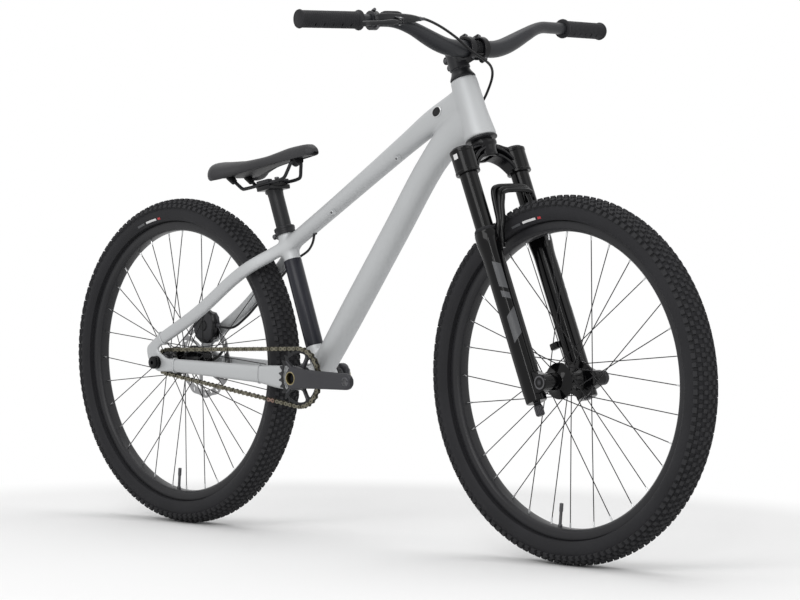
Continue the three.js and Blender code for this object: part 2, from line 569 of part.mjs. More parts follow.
for (const [name, group] of [['front', frontWheel], ['rear', rearWheel]]) {
  piece(`${name}_rim`, turned(rimProfile, tyre.steps), satinBlack, group);
  piece(`${name}_tyre`, turned(tyreProfile, tyre.steps), rubber, group);
}

// Rear axle with its two bolt heads and the spacers between hub and dropouts
const axleReach = dropout.inner + dropout.thickness + fit;
const axleProfile = [
  [0, -axleReach - rearAxle.headLength], [rearAxle.headRadius, -axleReach - rearAxle.headLength],
  [rearAxle.headRadius, -axleReach], [rearAxle.radius, -axleReach],
  [rearAxle.radius, -dropout.inner + fit], [rearAxle.spacerRadius, -dropout.inner + fit],
  [rearAxle.spacerRadius, -drive.out - cog.driverLength - fit], [rearAxle.radius, -drive.out - cog.driverLength - fit],
  [rearAxle.radius, rearHub.leftEnd + fit], [rearAxle.spacerRadius, rearHub.leftEnd + fit],
  [rearAxle.spacerRadius, dropout.inner - fit], [rearAxle.radius, dropout.inner - fit],
  [rearAxle.radius, axleReach], [rearAxle.headRadius, axleReach],
  [rearAxle.headRadius, axleReach + rearAxle.headLength], [0, axleReach + rearAxle.headLength],
];
const socketFor = (radius, from, depth) => rod(point(0, from, 0), point(0, from + depth, 0), radius, 6);
piece('rear_axle', cut(
  turned(axleProfile, 10),
  socketFor(rearAxle.socketRadius, -axleReach - rearAxle.headLength - overrun, rearAxle.socketDepth + overrun),
), satinBlack, rearWheel);

// Brake rotor: a waved braking ring on swept arms
const waved = (radius, depth, count, steps) => Array.from({ length: steps }, (_, k) => {
  const turn = (2 * Math.PI * k) / steps;
  const reach = radius - (depth / 2) * (1 - Math.cos(count * turn));
  return [reach * Math.cos(turn), reach * Math.sin(turn)];
});
function rotorWindow(index) {
  const step = (2 * Math.PI) / rotor.arms;
  const inner = rotor.hubRadius;
  const outer = rotor.ringInner;
  const sweep = step * rotor.sweepShare;
  const gapIn = rotor.armWide / inner;
  const gapOut = rotor.armWide / outer;
  const corners = [
    [inner, gapIn / 2], [inner, step - gapIn / 2], [(inner + outer) / 2, step - gapOut / 2 + sweep / 2],
    [outer, step - gapOut / 2 + sweep], [outer, step / 2 + sweep], [outer, gapOut / 2 + sweep],
    [(inner + outer) / 2, gapOut / 2 + sweep / 2],
  ];
  return corners.map(([radius, turn]) => [radius * Math.cos(turn + index * step), radius * Math.sin(turn + index * step)]);
}
const slotIn = (index) => {
  const turn = (2 * Math.PI * index) / rotor.slots;
  const middle = (rotor.radius - rotor.waveDepth + rotor.ringInner) / 2;
  const [cx, cz] = [middle * Math.cos(turn), middle * Math.sin(turn)];
  const lie = turn + rad(rotor.slotLean);
  const [ux, uz] = [Math.cos(lie), Math.sin(lie)];
  return [[1, 1], [-1, 1], [-1, -1], [1, -1]].map(([s, t]) => [
    cx + (s * rotor.slotLong * ux - t * rotor.slotWide * uz) / 2,
    cz + (s * rotor.slotLong * uz + t * rotor.slotWide * ux) / 2,
  ]);
};
const rotorHoles = [
  circle(0, 0, rotor.bore, 20),
  ...Array.from({ length: rotor.arms }, (_, k) => rotorWindow(k)),
  ...Array.from({ length: rotor.slots }, (_, k) => slotIn(k)),
];
const rotorOutline = waved(rotor.radius, rotor.waveDepth, rotor.waves, rotor.waves * 3);
piece('brake_rotor', plate(rotorOutline, rotor.out - rotor.thickness / 2, rotor.out + rotor.thickness / 2, rotorHoles), bareSteel, rearWheel);

// Caliper over the rotor's top edge, with two pads in their pockets
const caliperTurn = rad(caliper.lean);
const caliperPlace = (along, out, rise) => point(
  rearHubAt.x + (caliper.radius + rise) * Math.cos(caliperTurn) + along * Math.sin(caliperTurn), out,
  rearHubAt.z + (caliper.radius + rise) * Math.sin(caliperTurn) - along * Math.cos(caliperTurn),
);
const caliperOutline = (grow, shares) => shares.map(([along, rise]) => {
  const place = caliperPlace(along * (caliper.halfLong + grow), 0, rise * (caliper.halfTall + grow));
  return [place.x, place.z];
});
const bodyShare = [[-1, -0.5], [-0.55, -1], [0.55, -1], [1, -0.5], [1, 0.35], [0.6, 1], [-0.45, 1], [-1, 0.5]];
const padShare = [[-0.42, -0.3], [0.42, -0.3], [0.42, 0.26], [-0.42, 0.26]];
const pocketOutline = caliperOutline(0, padShare.map(([along, rise]) => [along * caliper.pocketShare, rise * caliper.pocketShare]));
const rotorSlot = plate(
  circle(rearHubAt.x, rearHubAt.z, rotor.radius + caliper.slotClear, 36),
  rotor.out - rotor.thickness / 2 - caliper.slotClear, rotor.out + rotor.thickness / 2 + caliper.slotClear,
);
const padInnerFace = rotor.thickness / 2 + caliper.padGap;
const pocketCut = plate(
  pocketOutline, rotor.out - padInnerFace - caliper.padThick - fit, rotor.out + padInnerFace + caliper.padThick + fit,
);
piece('brake_caliper', cut(
  plate(caliperOutline(0, bodyShare), caliper.inner, caliper.outer), rotorSlot, pocketCut, staySkin(seatstayStations(1), fit),
), satinBlack);
const padOutline = caliperOutline(0, padShare);
piece('brake_pad_inner', plate(padOutline, rotor.out - padInnerFace - caliper.padThick, rotor.out - padInnerFace), bareSteel);
piece('brake_pad_outer', plate(padOutline, rotor.out + padInnerFace, rotor.out + padInnerFace + caliper.padThick), bareSteel);

// Sprocket outlines: a tooth between each pair of chain rollers
const pitchRadius = (teeth) => chainPitch / (2 * Math.sin(Math.PI / teeth));
function toothed(teeth, phase) {
  const radius = pitchRadius(teeth);
  const seat = drive.rollerRadius + fit;
  const half = seat / radius;
  const step = (2 * Math.PI) / teeth;
  const corners = [
    [-half * drive.floorShare, radius - seat * drive.valleyShare], [half * drive.floorShare, radius - seat * drive.valleyShare],
    [half * drive.flankShare, radius + drive.toothRise], [step - half * drive.flankShare, radius + drive.toothRise],
  ];
  return Array.from({ length: teeth }, (_, k) => corners.map(([turn, reach]) => [
    reach * Math.cos(phase + k * step + turn), reach * Math.sin(phase + k * step + turn),
  ])).flat();
}

// The chain's run: rollers on the ring, two straight runs and rollers on the cog
const spanAhead = bracketAt.x - rearHubAt.x;
const spanDrop = rearHubAt.z - bracketAt.z;
const lineUp = Math.atan2(spanDrop, -spanAhead);
const ringStep = (2 * Math.PI) / drive.ringTeeth;
const cogStep = (2 * Math.PI) / drive.cogTeeth;
const ringPhase = 0;
const wrapLean = Math.asin((pitchRadius(drive.ringTeeth) - pitchRadius(drive.cogTeeth)) / Math.hypot(spanAhead, spanDrop));
const topTurn = lineUp - Math.PI / 2 + wrapLean;
const bottomTurn = lineUp + Math.PI / 2 - wrapLean - 2 * Math.PI;
const ringTopIndex = Math.round((topTurn - ringPhase) / ringStep);
const ringBottomIndex = Math.round((bottomTurn - ringPhase) / ringStep);
const rollers = [];
const onCircle = (centre, radius, turn) => [centre.x + radius * Math.cos(turn), centre.z + radius * Math.sin(turn)];
for (let k = ringBottomIndex; k <= ringTopIndex; k += 1) {
  rollers.push(onCircle(bracketAt, pitchRadius(drive.ringTeeth), ringPhase + k * ringStep));
}
const cogPhase = rad(90);
const cogTopIndex = Math.round((topTurn - cogPhase) / cogStep);
const cogBottomIndex = Math.round((bottomTurn + 2 * Math.PI - cogPhase) / cogStep);
const cogRollers = [];
for (let k = cogTopIndex; k <= cogBottomIndex; k += 1) {
  cogRollers.push(onCircle(rearHubAt, pitchRadius(drive.cogTeeth), cogPhase + k * cogStep));
}
function straightRun(from, to) {
  const length = Math.hypot(to[0] - from[0], to[1] - from[1]);
  const links = Math.round(length / chainPitch);
  return Array.from({ length: links - 1 }, (_, k) => [
    from[0] + ((to[0] - from[0]) * (k + 1)) / links, from[1] + ((to[1] - from[1]) * (k + 1)) / links,
  ]);
}
rollers.push(...straightRun(rollers.at(-1), cogRollers[0]), ...cogRollers, ...straightRun(cogRollers.at(-1), rollers[0]));

// Chain: two side plates all the way round, joined by a roller at every pin
function chainEdge(offset) {
  const count = rollers.length;
  return rollers.flatMap(([x, z], k) => {
    const [before, after] = [rollers[(k + count - 1) % count], rollers[(k + 1) % count]];
    const [dx, dz] = [after[0] - before[0], after[1] - before[1]];
    const size = Math.hypot(dx, dz);
    const straight = Math.abs((x - before[0]) * dz - (z - before[1]) * dx) < size * drive.flatShare;
    return straight ? [] : [[x + (dz / size) * offset, z - (dx / size) * offset]];
  });
}
const chainPlates = sides.map(([, sign]) => {
  const faces = [sign * drive.plateInner, sign * (drive.plateInner + drive.plateThick)].sort((a, b) => a - b);
  return plate(
    chainEdge(drive.plateTall), faces[0] - drive.out, faces[1] - drive.out, [chainEdge(-drive.plateTall)],
  );
});
const pinReach = drive.plateInner + drive.plateThick / 2;
const chainRollers = rollers.map(([x, z]) => rod(
  point(x, -drive.out - pinReach, z), point(x, -drive.out + pinReach, z), drive.rollerRadius, 4,
));
piece('chain', joined(...chainPlates, ...chainRollers), oliveGold);

// Chainring: toothed rim on short arms, bolted to the right crank
const windowStep = (2 * Math.PI) / ring.windows;
const ringWindow = (index) => [
  [ring.windowInner, -0.7], [ring.windowInner, 0.7], [(ring.windowInner + ring.windowOuter) / 2, 1], [ring.windowOuter, 0.9],
  [ring.windowOuter, -0.9], [(ring.windowInner + ring.windowOuter) / 2, -1],
].map(([radius, share]) => {
  const turn = (index + share * ring.windowShare / 2) * windowStep;
  return [radius * Math.cos(turn), radius * Math.sin(turn)];
});
const ringHoles = [circle(0, 0, clear(ring.bore - fit, 14), 14), ...Array.from({ length: ring.windows }, (_, k) => ringWindow(k))];
piece('chainring', plate(
  toothed(drive.ringTeeth, ringPhase), -drive.out - drive.toothHalf, -drive.out + drive.toothHalf, ringHoles,
), satinBlack, crankGroup);

// Rear cog and the driver that carries it
piece('rear_cog', joined(
  plate(toothed(drive.cogTeeth, cogPhase), -drive.out - drive.toothHalf, -drive.out + drive.toothHalf, [circle(0, 0, cog.bore, 16)]),
  sleeve(cog.bore, cog.driverRadius, -drive.out - cog.driverLength, -rearHub.rightEnd - fit, 16),
), bareSteel, rearWheel);

// Cranks: forged arms on a hollow spindle, right one forward and left one back
function crankArm(sign) {
  const ahead = -sign;
  const station = (share, half, wide) => {
    const out = crank.rootOut + (crank.endOut - crank.rootOut) * share;
    const inner = crank.rootIn + (crank.endIn - crank.rootIn) * Math.min(1, share * 2);
    return { at: point(ahead * share * crank.length, (sign * (out + inner)) / 2, 0), wide: ((out - inner) / 2) * wide, tall: half, power: 3.4 };
  };
  const boss = (x, inner, outer, radius, steps) => rod(point(x, sign * inner, 0), point(x, sign * outer, 0), radius, steps);
  const end = ahead * crank.length;
  return cut(
    joined(
      loft([station(0, crank.waistHalf * 1.2, 1), station(0.2, crank.waistHalf * 1.12, 1), station(crank.waistShare, crank.waistHalf, 1),
        station(0.8, crank.endRadius, 1), station(1, crank.endRadius * 0.9, 1)], 8, across),
      boss(0, crank.rootIn, crank.rootOut, crank.rootRadius, 16),
      boss(0, bearing.reach + fit, crank.rootIn + fit, ring.bore - fit, 14),
      boss(end, crank.endIn, crank.endOut, crank.endRadius, 12),
    ),
    boss(0, 0, crank.rootOut + overrun, clear(spindle.radius, 14), 14),
    boss(end, crank.endIn - overrun, crank.endOut + overrun, crank.pedalHole, 12),
  );
}
for (const [side, sign] of sides) piece(`crank_arm_${side}`, crankArm(sign), charcoal, crankGroup);
piece('crank_spindle', cut(
  rod(point(0, -spindle.reach, 0), point(0, spindle.reach, 0), spindle.radius, 14),
  rod(point(0, -spindle.reach - overrun, 0), point(0, -spindle.reach + spindle.boreDepth, 0), spindle.boreRadius, 12),
  rod(point(0, spindle.reach - spindle.boreDepth, 0), point(0, spindle.reach + overrun, 0), spindle.boreRadius, 12),
), bareSteel, crankGroup);

// Fork: crown with its steerer, two stanchions, and the sliding lowers
const upright = (inner, outer, low, high, steps, ahead = 0, out = 0) => sleeveUp(inner, outer, low, high, steps).translate(ahead, out, 0);
const column = (radius, low, high, steps, ahead = 0, out = 0) => rod(point(ahead, out, low), point(ahead, out, high), radius, steps);
const steererShape = turnedUp([
  [0, level.crownHubBottom], [fork.crownHubRadius, level.crownHubBottom], [fork.crownHubRadius, level.crownTop - fork.raceTall],
  [fork.crownRaceRadius, level.crownTop - fork.raceTall], [fork.crownRaceRadius, level.crownTop],
  [steerer.taperRadius, level.crownTop], [steerer.taperRadius, level.taperStart],
  [steerer.radius, level.taperEnd], [steerer.radius, level.steererTop], [0, level.steererTop],
], 14);
const armHalf = [
  [1, fork.legAhead, level.armLow, fork.armTall], [0.62, fork.legAhead, level.armLow + fork.kneeLift, fork.armTall],
  [0.25, fork.armAhead, level.armHigh, fork.armTall * 0.8],
];
const armRoute = [
  ...armHalf.map(([share, ...rest]) => [-share, ...rest]), [0, 0, level.armHigh + fork.hubLift, fork.armTall * 0.7],
  ...armHalf.slice().reverse(),
];
const crownArms = loft(armRoute.map(([share, ahead, rise, tall]) => ({
  at: point(ahead, share * fork.legOut, rise), wide: fork.armWide, tall, power: 3,
})), 10, forwards);
const sleeves = sides.map(([, sign]) => column(fork.sleeveRadius, level.sleeveBottom, level.sleeveTop, 14, fork.legAhead, sign * fork.legOut));
const sleeveBores = sides.map(([, sign]) => column(
  clear(fork.stanchionRadius, 14), level.sleeveBottom - overrun, level.sleeveTop + overrun, 14, fork.legAhead, sign * fork.legOut,
));
piece('fork_crown_steerer', cut(joined(steererShape, crownArms, ...sleeves), ...sleeveBores), glossBlack, steeringGroup);
for (const [side, sign] of sides) {
  const stanchion = turnedUp([
    [0, fork.stanchionFoot], [fork.stanchionRadius, fork.stanchionFoot], [fork.stanchionRadius, level.sleeveTop + fit],
    [fork.capRadius, level.sleeveTop + fit], [fork.capRadius, level.sleeveTop + fork.capTall],
    [fork.capRadius * 0.5, level.sleeveTop + fork.capTall], [0, level.sleeveTop + fork.capTall],
  ], 14).translate(fork.legAhead, sign * fork.legOut, 0);
  piece(`stanchion_${side}`, stanchion, glossBlack, steeringGroup);
  const seal = upright(clear(fork.stanchionRadius, 14), wiper.radius, level.lowersTop + fit, level.lowersTop + wiper.tall, 14, fork.legAhead, sign * fork.legOut);
  piece(`fork_wiper_${side}`, seal, satinBlack, steeringGroup);
}
const lugInner = fork.legOut - lowers.lugIn;
const lugOuter = fork.legOut + lowers.lugPast;
const tabMiddle = fork.legOut - lowers.tabIn;
const lowerLeg = (sign) => turnedUp([
  [0, -lowers.foot], [lowers.footRadius, -lowers.foot], [lowers.radius, -lowers.foot + lowers.footTaper],
  [lowers.radius, level.lowersTop - lowers.collarTall * 2], [lowers.topRadius, level.lowersTop - lowers.collarTall],
  [lowers.topRadius, level.lowersTop], [0, level.lowersTop],
], 14).translate(fork.legAhead, sign * fork.legOut, 0);
const axleLug = (sign) => joined(
  rod(point(forkOffset, sign * lugInner, 0), point(forkOffset, sign * lugOuter, 0), lowers.lugRadius, 14),
  block(
    point(fork.legAhead, Math.min(sign * lugInner, sign * lugOuter), -lowers.lugRadius),
    point(forkOffset, Math.max(sign * lugInner, sign * lugOuter), lowers.lugRadius),
  ),
);
const legBore = (sign) => column(clear(fork.stanchionRadius, 14), lowers.boreFloor, level.lowersTop + overrun, 14, fork.legAhead, sign * fork.legOut);
const archHalf = [
  [arch.footOut, arch.footAhead, level.archFoot], [arch.kneeOut, arch.kneeAhead, level.archKnee],
  [arch.hipOut, arch.hipAhead, level.archHip], [arch.topOut, arch.topAhead, level.archTop],
];
const archPath = [...archHalf.map(([out, ahead, rise]) => [-out, ahead, rise]), ...archHalf.slice().reverse()];
const archBar = loft(archPath.map(([out, ahead, rise]) => ({
  at: point(ahead, out, rise), wide: arch.deep, tall: arch.tall, power: 3,
})), 8, forwards);
const brakeTab = block(
  point(fork.legAhead - lowers.tabBack - lowers.radius * 0.5, tabMiddle - lowers.tabThick, lowers.tabRise - lowers.tabHalf),
  point(fork.legAhead, tabMiddle + lowers.tabThick * 2, lowers.tabRise + lowers.tabHalf),
);
const axleBore = rod(point(forkOffset, -fork.legOut * 2, 0), point(forkOffset, fork.legOut * 2, 0), clear(frontAxle.radius, 14), 14);
piece('fork_lowers', cut(
  joined(...sides.map(([, sign]) => lowerLeg(sign)), ...sides.map(([, sign]) => axleLug(sign)), archBar, brakeTab),
  ...sides.map(([, sign]) => legBore(sign)), axleBore,
), glossBlack, steeringGroup);
piece('rebound_knob', column(knob.radius, -lowers.foot - fit - knob.length, -lowers.foot - fit, knob.sides, fork.legAhead, -fork.legOut), satinBlack, steeringGroup);
piece('front_axle', turned([
  [0, -lugOuter], [frontAxle.radius, -lugOuter], [frontAxle.radius, lugOuter + fit],
  [frontAxle.headRadius, lugOuter + fit], [frontAxle.headRadius, lugOuter + fit + frontAxle.headLength],
  [0, lugOuter + fit + frontAxle.headLength],
], 14).translate(forkOffset, 0, 0), satinBlack, steeringGroup);

// Headset cover, stem, faceplate and the steerer's cap
const coverLow = level.headTop + fit;
const coverMiddle = coverLow + headset.coverTall;
const stemLow = level.stemMiddle - stem.halfTall;
const stemHigh = level.stemMiddle + stem.halfTall;
const bored = clear(steerer.radius, 14);
piece('headset_cover', turnedUp([
  [bored, coverLow], [headset.coverRadius, coverLow], [headset.coverTop, coverMiddle],
  [headset.spacerRadius, coverMiddle], [headset.spacerRadius, stemLow - fit], [bored, stemLow - fit],
], 14), satinBlack, steeringGroup);
const clampAt = [stem.reach, level.stemMiddle + stem.clampRise];
const wrapArc = (from, to, radius, steps) => Array.from({ length: steps + 1 }, (_, k) => {
  const turn = from + ((to - from) * k) / steps;
  return [clampAt[0] + radius * Math.cos(turn), clampAt[1] + radius * Math.sin(turn)];
});
const barBore = rod(point(clampAt[0], -bar.halfWidth, clampAt[1]), point(clampAt[0], bar.halfWidth, clampAt[1]), clear(bar.clampRadius, 20), 20);
const rearHalf = plate([
  ...wrapArc(Math.PI / 2, 1.5 * Math.PI, stem.faceRadius, 8).map(([x, z]) => [x - stem.splitAhead, z]),
], -stem.faceHalf, stem.faceHalf);
const stemArm = loft([
  { at: point(0, 0, level.stemMiddle), wide: stem.armHalf, tall: stem.armTall, power: 4 },
  { at: point(stem.reach / 2, 0, level.stemMiddle + stem.clampRise / 2), wide: stem.armHalf, tall: stem.armTall, power: 4 },
  { at: point(stem.reach - stem.splitAhead, 0, clampAt[1]), wide: stem.faceHalf, tall: stem.armTall * 1.1, power: 4 },
], 12, across);
const pinchLugs = block(
  point(-stem.pinchBack, -stem.pinchHalf, level.stemMiddle - stem.halfTall * 0.85),
  point(0, stem.pinchHalf, level.stemMiddle + stem.halfTall * 0.85),
);
piece('stem', cut(
  joined(column(stem.clampRadius, stemLow, stemHigh, 16), stemArm, rearHalf, pinchLugs),
  column(bored, stemLow - overrun, stemHigh + overrun, 14), barBore,
  block(
    point(-stem.pinchBack - overrun, -stem.slotHalf, stemLow - overrun),
    point(-steerer.radius * 0.5, stem.slotHalf, stemHigh + overrun),
  ),
), satinBlack, steeringGroup);
const faceOutline = wrapArc(-Math.PI / 2, Math.PI / 2, stem.faceRadius, 8).map(([x, z]) => [x + stem.splitAhead, z]);
piece('stem_faceplate', cut(
  plate(faceOutline, -stem.faceHalf, stem.faceHalf), barBore,
  block(
    point(clampAt[0] + stem.clampRadius * 0.4, -stem.windowHalf, clampAt[1] - stem.windowTall),
    point(clampAt[0] + stem.faceRadius * 2, stem.windowHalf, clampAt[1] + stem.windowTall),
  ),
), satinBlack, steeringGroup);
piece('steerer_cap', column(headset.capRadius, stemHigh + fit, stemHigh + headset.capTall, 20), satinBlack, steeringGroup);

// Handlebar: fat in the clamp, rising and thinning to the grips
const smooth = (share) => share * share * (3 - 2 * share);
const barCentre = (out) => {
  const reach = Math.abs(out);
  const lift = smooth(Math.min(1, Math.max(0, (reach - bar.clampHalf) / (bar.bendEnd - bar.clampHalf))));
  const beyond = Math.max(0, reach - bar.bendEnd) / (bar.halfWidth - bar.bendEnd);
  return point(
    clampAt[0] + bar.bendAhead * lift - bar.endSweep * beyond, out, clampAt[1] + bar.rise * lift + bar.endRise * beyond,
  );
};
const barRadius = (out) => {
  const share = smooth(Math.min(1, Math.max(0, (Math.abs(out) - bar.taperStart) / (bar.taperEnd - bar.taperStart))));
  return bar.clampRadius + (bar.gripRadius - bar.clampRadius) * share;
};
const barTip = bar.halfWidth - grip.endThick - fit;
const bendShares = [0.8, 0.6, 0.4, 0.2, 0];
const barOuts = [
  barTip, bar.evenStart, bar.bendEnd, ...bendShares.map((share) => bar.clampHalf + (bar.bendEnd - bar.clampHalf) * share),
];
const barStations = [...barOuts.map((out) => -out), ...barOuts.slice().reverse()].map((out) => ({
  at: barCentre(out), wide: barRadius(out), tall: barRadius(out),
}));
piece('handlebar', loft(barStations, 12, forwards), charcoal, steeringGroup);

// The straight outer run of each bar end carries a grip, and the lever on the right
function barEndFrame(sign) {
  const origin = barCentre(sign * bar.bendEnd);
  const outward = barCentre(sign * bar.halfWidth).sub(origin).normalize();
  const yAxis = outward.clone().multiplyScalar(sign);
  const xAxis = forwards.clone().addScaledVector(yAxis, -forwards.dot(yAxis)).normalize();
  const zAxis = xAxis.clone().cross(yAxis);
  return new THREE.Matrix4().makeBasis(xAxis, yAxis, zAxis).setPosition(origin);
}
const barEndLength = barCentre(bar.halfWidth).distanceTo(barCentre(bar.bendEnd));
for (const [side, sign] of sides) {
  const gripIn = barEndLength - grip.length;
  const profile = [
    [clear(bar.gripRadius, 14), gripIn], [grip.flangeRadius, gripIn], [grip.flangeRadius, gripIn + grip.flangeThick],
    [grip.radius, gripIn + grip.flangeThick * 1.6], [grip.radius, barEndLength - grip.endThick],
    [grip.endRadius, barEndLength - grip.endThick], [grip.tipRadius, barEndLength], [0, barEndLength],
    [0, barEndLength - grip.endThick], [clear(bar.gripRadius, 14), barEndLength - grip.endThick],
  ].map(([radius, reach]) => [radius, sign * reach]);
  piece(`grip_${side}`, turned(profile, 14).applyMatrix4(barEndFrame(sign)), rubber, steeringGroup);
}

// Brake lever: clamp and cylinder body along the bar, and the two-finger blade
const leverFrame = barEndFrame(-1);
const clampOut = bar.halfWidth - grip.length - lever.gripGap - lever.clampHalf;
const leverPoint = (ahead, out, rise) => point(ahead, bar.bendEnd - clampOut - out, rise);
const leverClamp = solid(
  sleeve(clear(bar.gripRadius, 14), lever.clampRadius, -lever.clampHalf, lever.clampHalf, 14)
    .translate(0, bar.bendEnd - clampOut, 0),
);
const leverBody = loft([
  [0.8, lever.clampHalf, 0.8, 0.8], [1, -lever.clampHalf * 2, 1, 1.1], [1, -lever.bodyReach / 2, 1, 1], [0.95, -lever.bodyReach, 0.55, 0.55],
].map(([aheadShare, out, wideShare, tallShare]) => ({
  at: leverPoint(lever.bodyAhead * aheadShare, out, -lever.bodyDrop),
  wide: lever.bodyHalf * wideShare, tall: lever.bodyHalf * tallShare, power: 3,
})), 10, forwards);
const pivotPlace = leverPoint(lever.pivotAhead, -lever.pivotIn, -lever.pivotDrop);
const tipPlace = leverPoint(lever.tipAhead, lever.tipOut, -lever.tipDrop);
const bladeDirection = point(lever.tipAhead, 0, -lever.tipDrop).normalize();
const hingeAxis = across.clone().cross(bladeDirection).normalize();
const ears = [1, -1].map((sign) => {
  const offset = hingeAxis.clone().multiplyScalar(sign * (lever.bladeThick / 2 + fit + lever.earThick / 2));
  const root = leverPoint(lever.bodyAhead, -lever.pivotIn, -lever.bodyDrop).add(offset);
  const tip = pivotPlace.clone().add(offset).addScaledVector(bladeDirection, lever.earRadius);
  return loft([
    { at: root, wide: lever.earThick / 2, tall: lever.earRadius * lever.earRootShare, power: 4 },
    { at: tip, wide: lever.earThick / 2, tall: lever.earRadius, power: 4 },
  ], 8, hingeAxis);
});
const onHinge = (reach, radius, steps) => rod(
  pivotPlace.clone().addScaledVector(hingeAxis, -reach), pivotPlace.clone().addScaledVector(hingeAxis, reach), radius, steps,
);
const pivotPin = onHinge(lever.bladeThick / 2 + fit + lever.earThick, lever.pinRadius, 8);
const bladeRoom = onHinge(lever.bladeThick / 2 + fit, lever.earRadius + overrun, 12);
const barEndBore = rod(leverPoint(0, -clampOut, 0), leverPoint(0, bar.halfWidth, 0), clear(bar.gripRadius, 14), 14);
const masterShape = joined(cut(joined(leverClamp, leverBody, ...ears), bladeRoom, barEndBore), pivotPin);
piece('brake_master', masterShape.transform(leverFrame.elements), satinBlack, steeringGroup);
const bladeMiddle = pivotPlace.clone().lerp(tipPlace, 0.5).addScaledVector(bladeDirection, lever.bladeBow);
const bladeShoulder = pivotPlace.clone().lerp(bladeMiddle, 0.5).addScaledVector(bladeDirection, lever.bladeBow);
const bladeRows = [[pivotPlace, 0.7], [bladeShoulder, 1], [bladeMiddle, 0.62], [tipPlace, 0.5]];
const blade = cut(
  joined(
    onHinge(lever.bladeThick / 2, lever.earRadius, 10),
    loft(bladeRows.map(([at, tallShare]) => ({
      at, wide: lever.bladeThick / 2, tall: lever.bladeTall * tallShare, power: 4,
    })), 10, hingeAxis),
    new THREE.SphereGeometry(lever.bladeTall * 0.62, 6, 4).translate(tipPlace.x, tipPlace.y, tipPlace.z),
  ),
  onHinge(lever.bladeThick * 2, clear(lever.pinRadius, 8), 8),
);
piece('brake_lever', blade.transform(leverFrame.elements), satinBlack, steeringGroup);

// Brake hose: from the lever, under the bar and into the frame's left side
const hoseStart = leverPoint(lever.bodyAhead * 0.95, -lever.bodyReach - fit, -lever.bodyDrop).applyMatrix4(leverFrame);
const frontRoute = [
  [74, -100, 70], [72, -64, 49], [66, -28, 26], [60, 4, 13], [50, 28, 4], [34, 43, -6], [12, 49, -21],
  [-15.8, 47, -40], [-36.3, 41, -42.5], [-51.1, 31.5, -41.9],
];
const hoseFront = [
  ...[hoseStart, hoseStart.clone().add(point(2, 12, -1))].map((at) => at.applyMatrix4(steeringFrame)),
  ...frontRoute.map(([ahead, out, rise]) => fromHeadTop(-ahead, out, -rise)), ...frontPort,
];
piece('brake_hose_front', tube(hoseFront, hose.radius, 6, 24), rubber);
const rearRoute = [
  [388, 6, 248], [375, 13, 238], [353, 22.5, 226.5], [329, 26, 216.5], [306, 25.5, 206.5], [285, 33.5, 193.5],
  [262, 42, 181.5], [220, 50, 156.5], [171, 55, 122.5], [122.5, 59.5, 89.5], [92, 51, 68.5],
];
const hoseRear = [
  ...rearPort, ...rearRoute.map(([ahead, out, rise]) => fromRearHub(ahead, out, rise)),
  caliperPlace(caliper.halfLong + hose.caliperLead, hose.caliperOut, hose.caliperRise),
  caliperPlace(caliper.halfLong + fit, hose.caliperOut, hose.caliperRise),
];
piece('brake_hose_rear', tube(hoseRear, hose.radius, 6, 24), rubber);

// Seatpost with its cradle, and the saddle on two rails
const railFrame = lean(saddle.tilt, alongSeat(0, 0, post.railRise));
const railGroup = new THREE.Group();
railGroup.applyMatrix4(railFrame);
bike.add(railGroup);
const railRun = (grow) => sides.map(([, sign]) => rod(
  point(-rails.back, sign * rails.out, 0), point(rails.front, sign * rails.out, 0), grow, 10,
));
const postShape = joined(
  loft([
    { at: alongSeat(0, 0, post.foot), wide: post.radius, tall: post.radius },
    { at: alongSeat(0, 0, post.railRise - post.neckTall), wide: post.radius, tall: post.radius },
    { at: alongSeat(0, 0, post.railRise - post.cradleTall * 0.7), wide: post.radius * 1.15, tall: post.radius * 0.9 },
  ], 20, across),
  solid(block(
    point(-post.cradleLong, -post.cradleHalf, -post.cradleTall), point(post.cradleLong, post.cradleHalf, -fit / 2),
  )).transform(railFrame.elements),
);
const grooves = railRun(clear(rails.radius, 10)).map((shape) => solid(shape).transform(railFrame.elements));
piece('seatpost', cut(postShape, ...grooves), satinBlack);
piece('saddle_clamp', cut(
  block(point(-post.clampLong, -post.cradleHalf, fit / 2), point(post.clampLong, post.cradleHalf, post.clampTall)), ...railRun(clear(rails.radius, 10)),
), satinBlack, railGroup);
const tailShares = [[1, 1, 1], [0.47, 0.5, 0.4], [0.118, 0, 0.036]];
const noseShares = [[0.136, 0.067, 0.079], [0.545, 0.333, 0.508], [0.864, 0.6, 0.889], [1, 1, 1]];
const railRoute = [
  ...tailShares.map(([back, spread, rise]) => [
    -rails.back - rails.tailReach * back, rails.out + rails.tailSpread * spread, rails.tailRise * rise,
  ]),
  [-rails.back + rails.easing, rails.out, 0], [0, rails.out, 0], [rails.front - rails.easing, rails.out, 0],
  ...noseShares.map(([ahead, inwards, rise]) => [
    rails.front + rails.noseReach * ahead, rails.out - rails.noseIn * inwards, rails.noseRise * rise,
  ]),
];
const railPoints = [
  ...railRoute.map(([ahead, out, rise]) => point(ahead, -out, rise)),
  ...railRoute.slice().reverse().map(([ahead, out, rise]) => point(ahead, out, rise)),
];
piece('saddle_rails', tube(railPoints, rails.radius, 6, 30), satinBlack, railGroup);

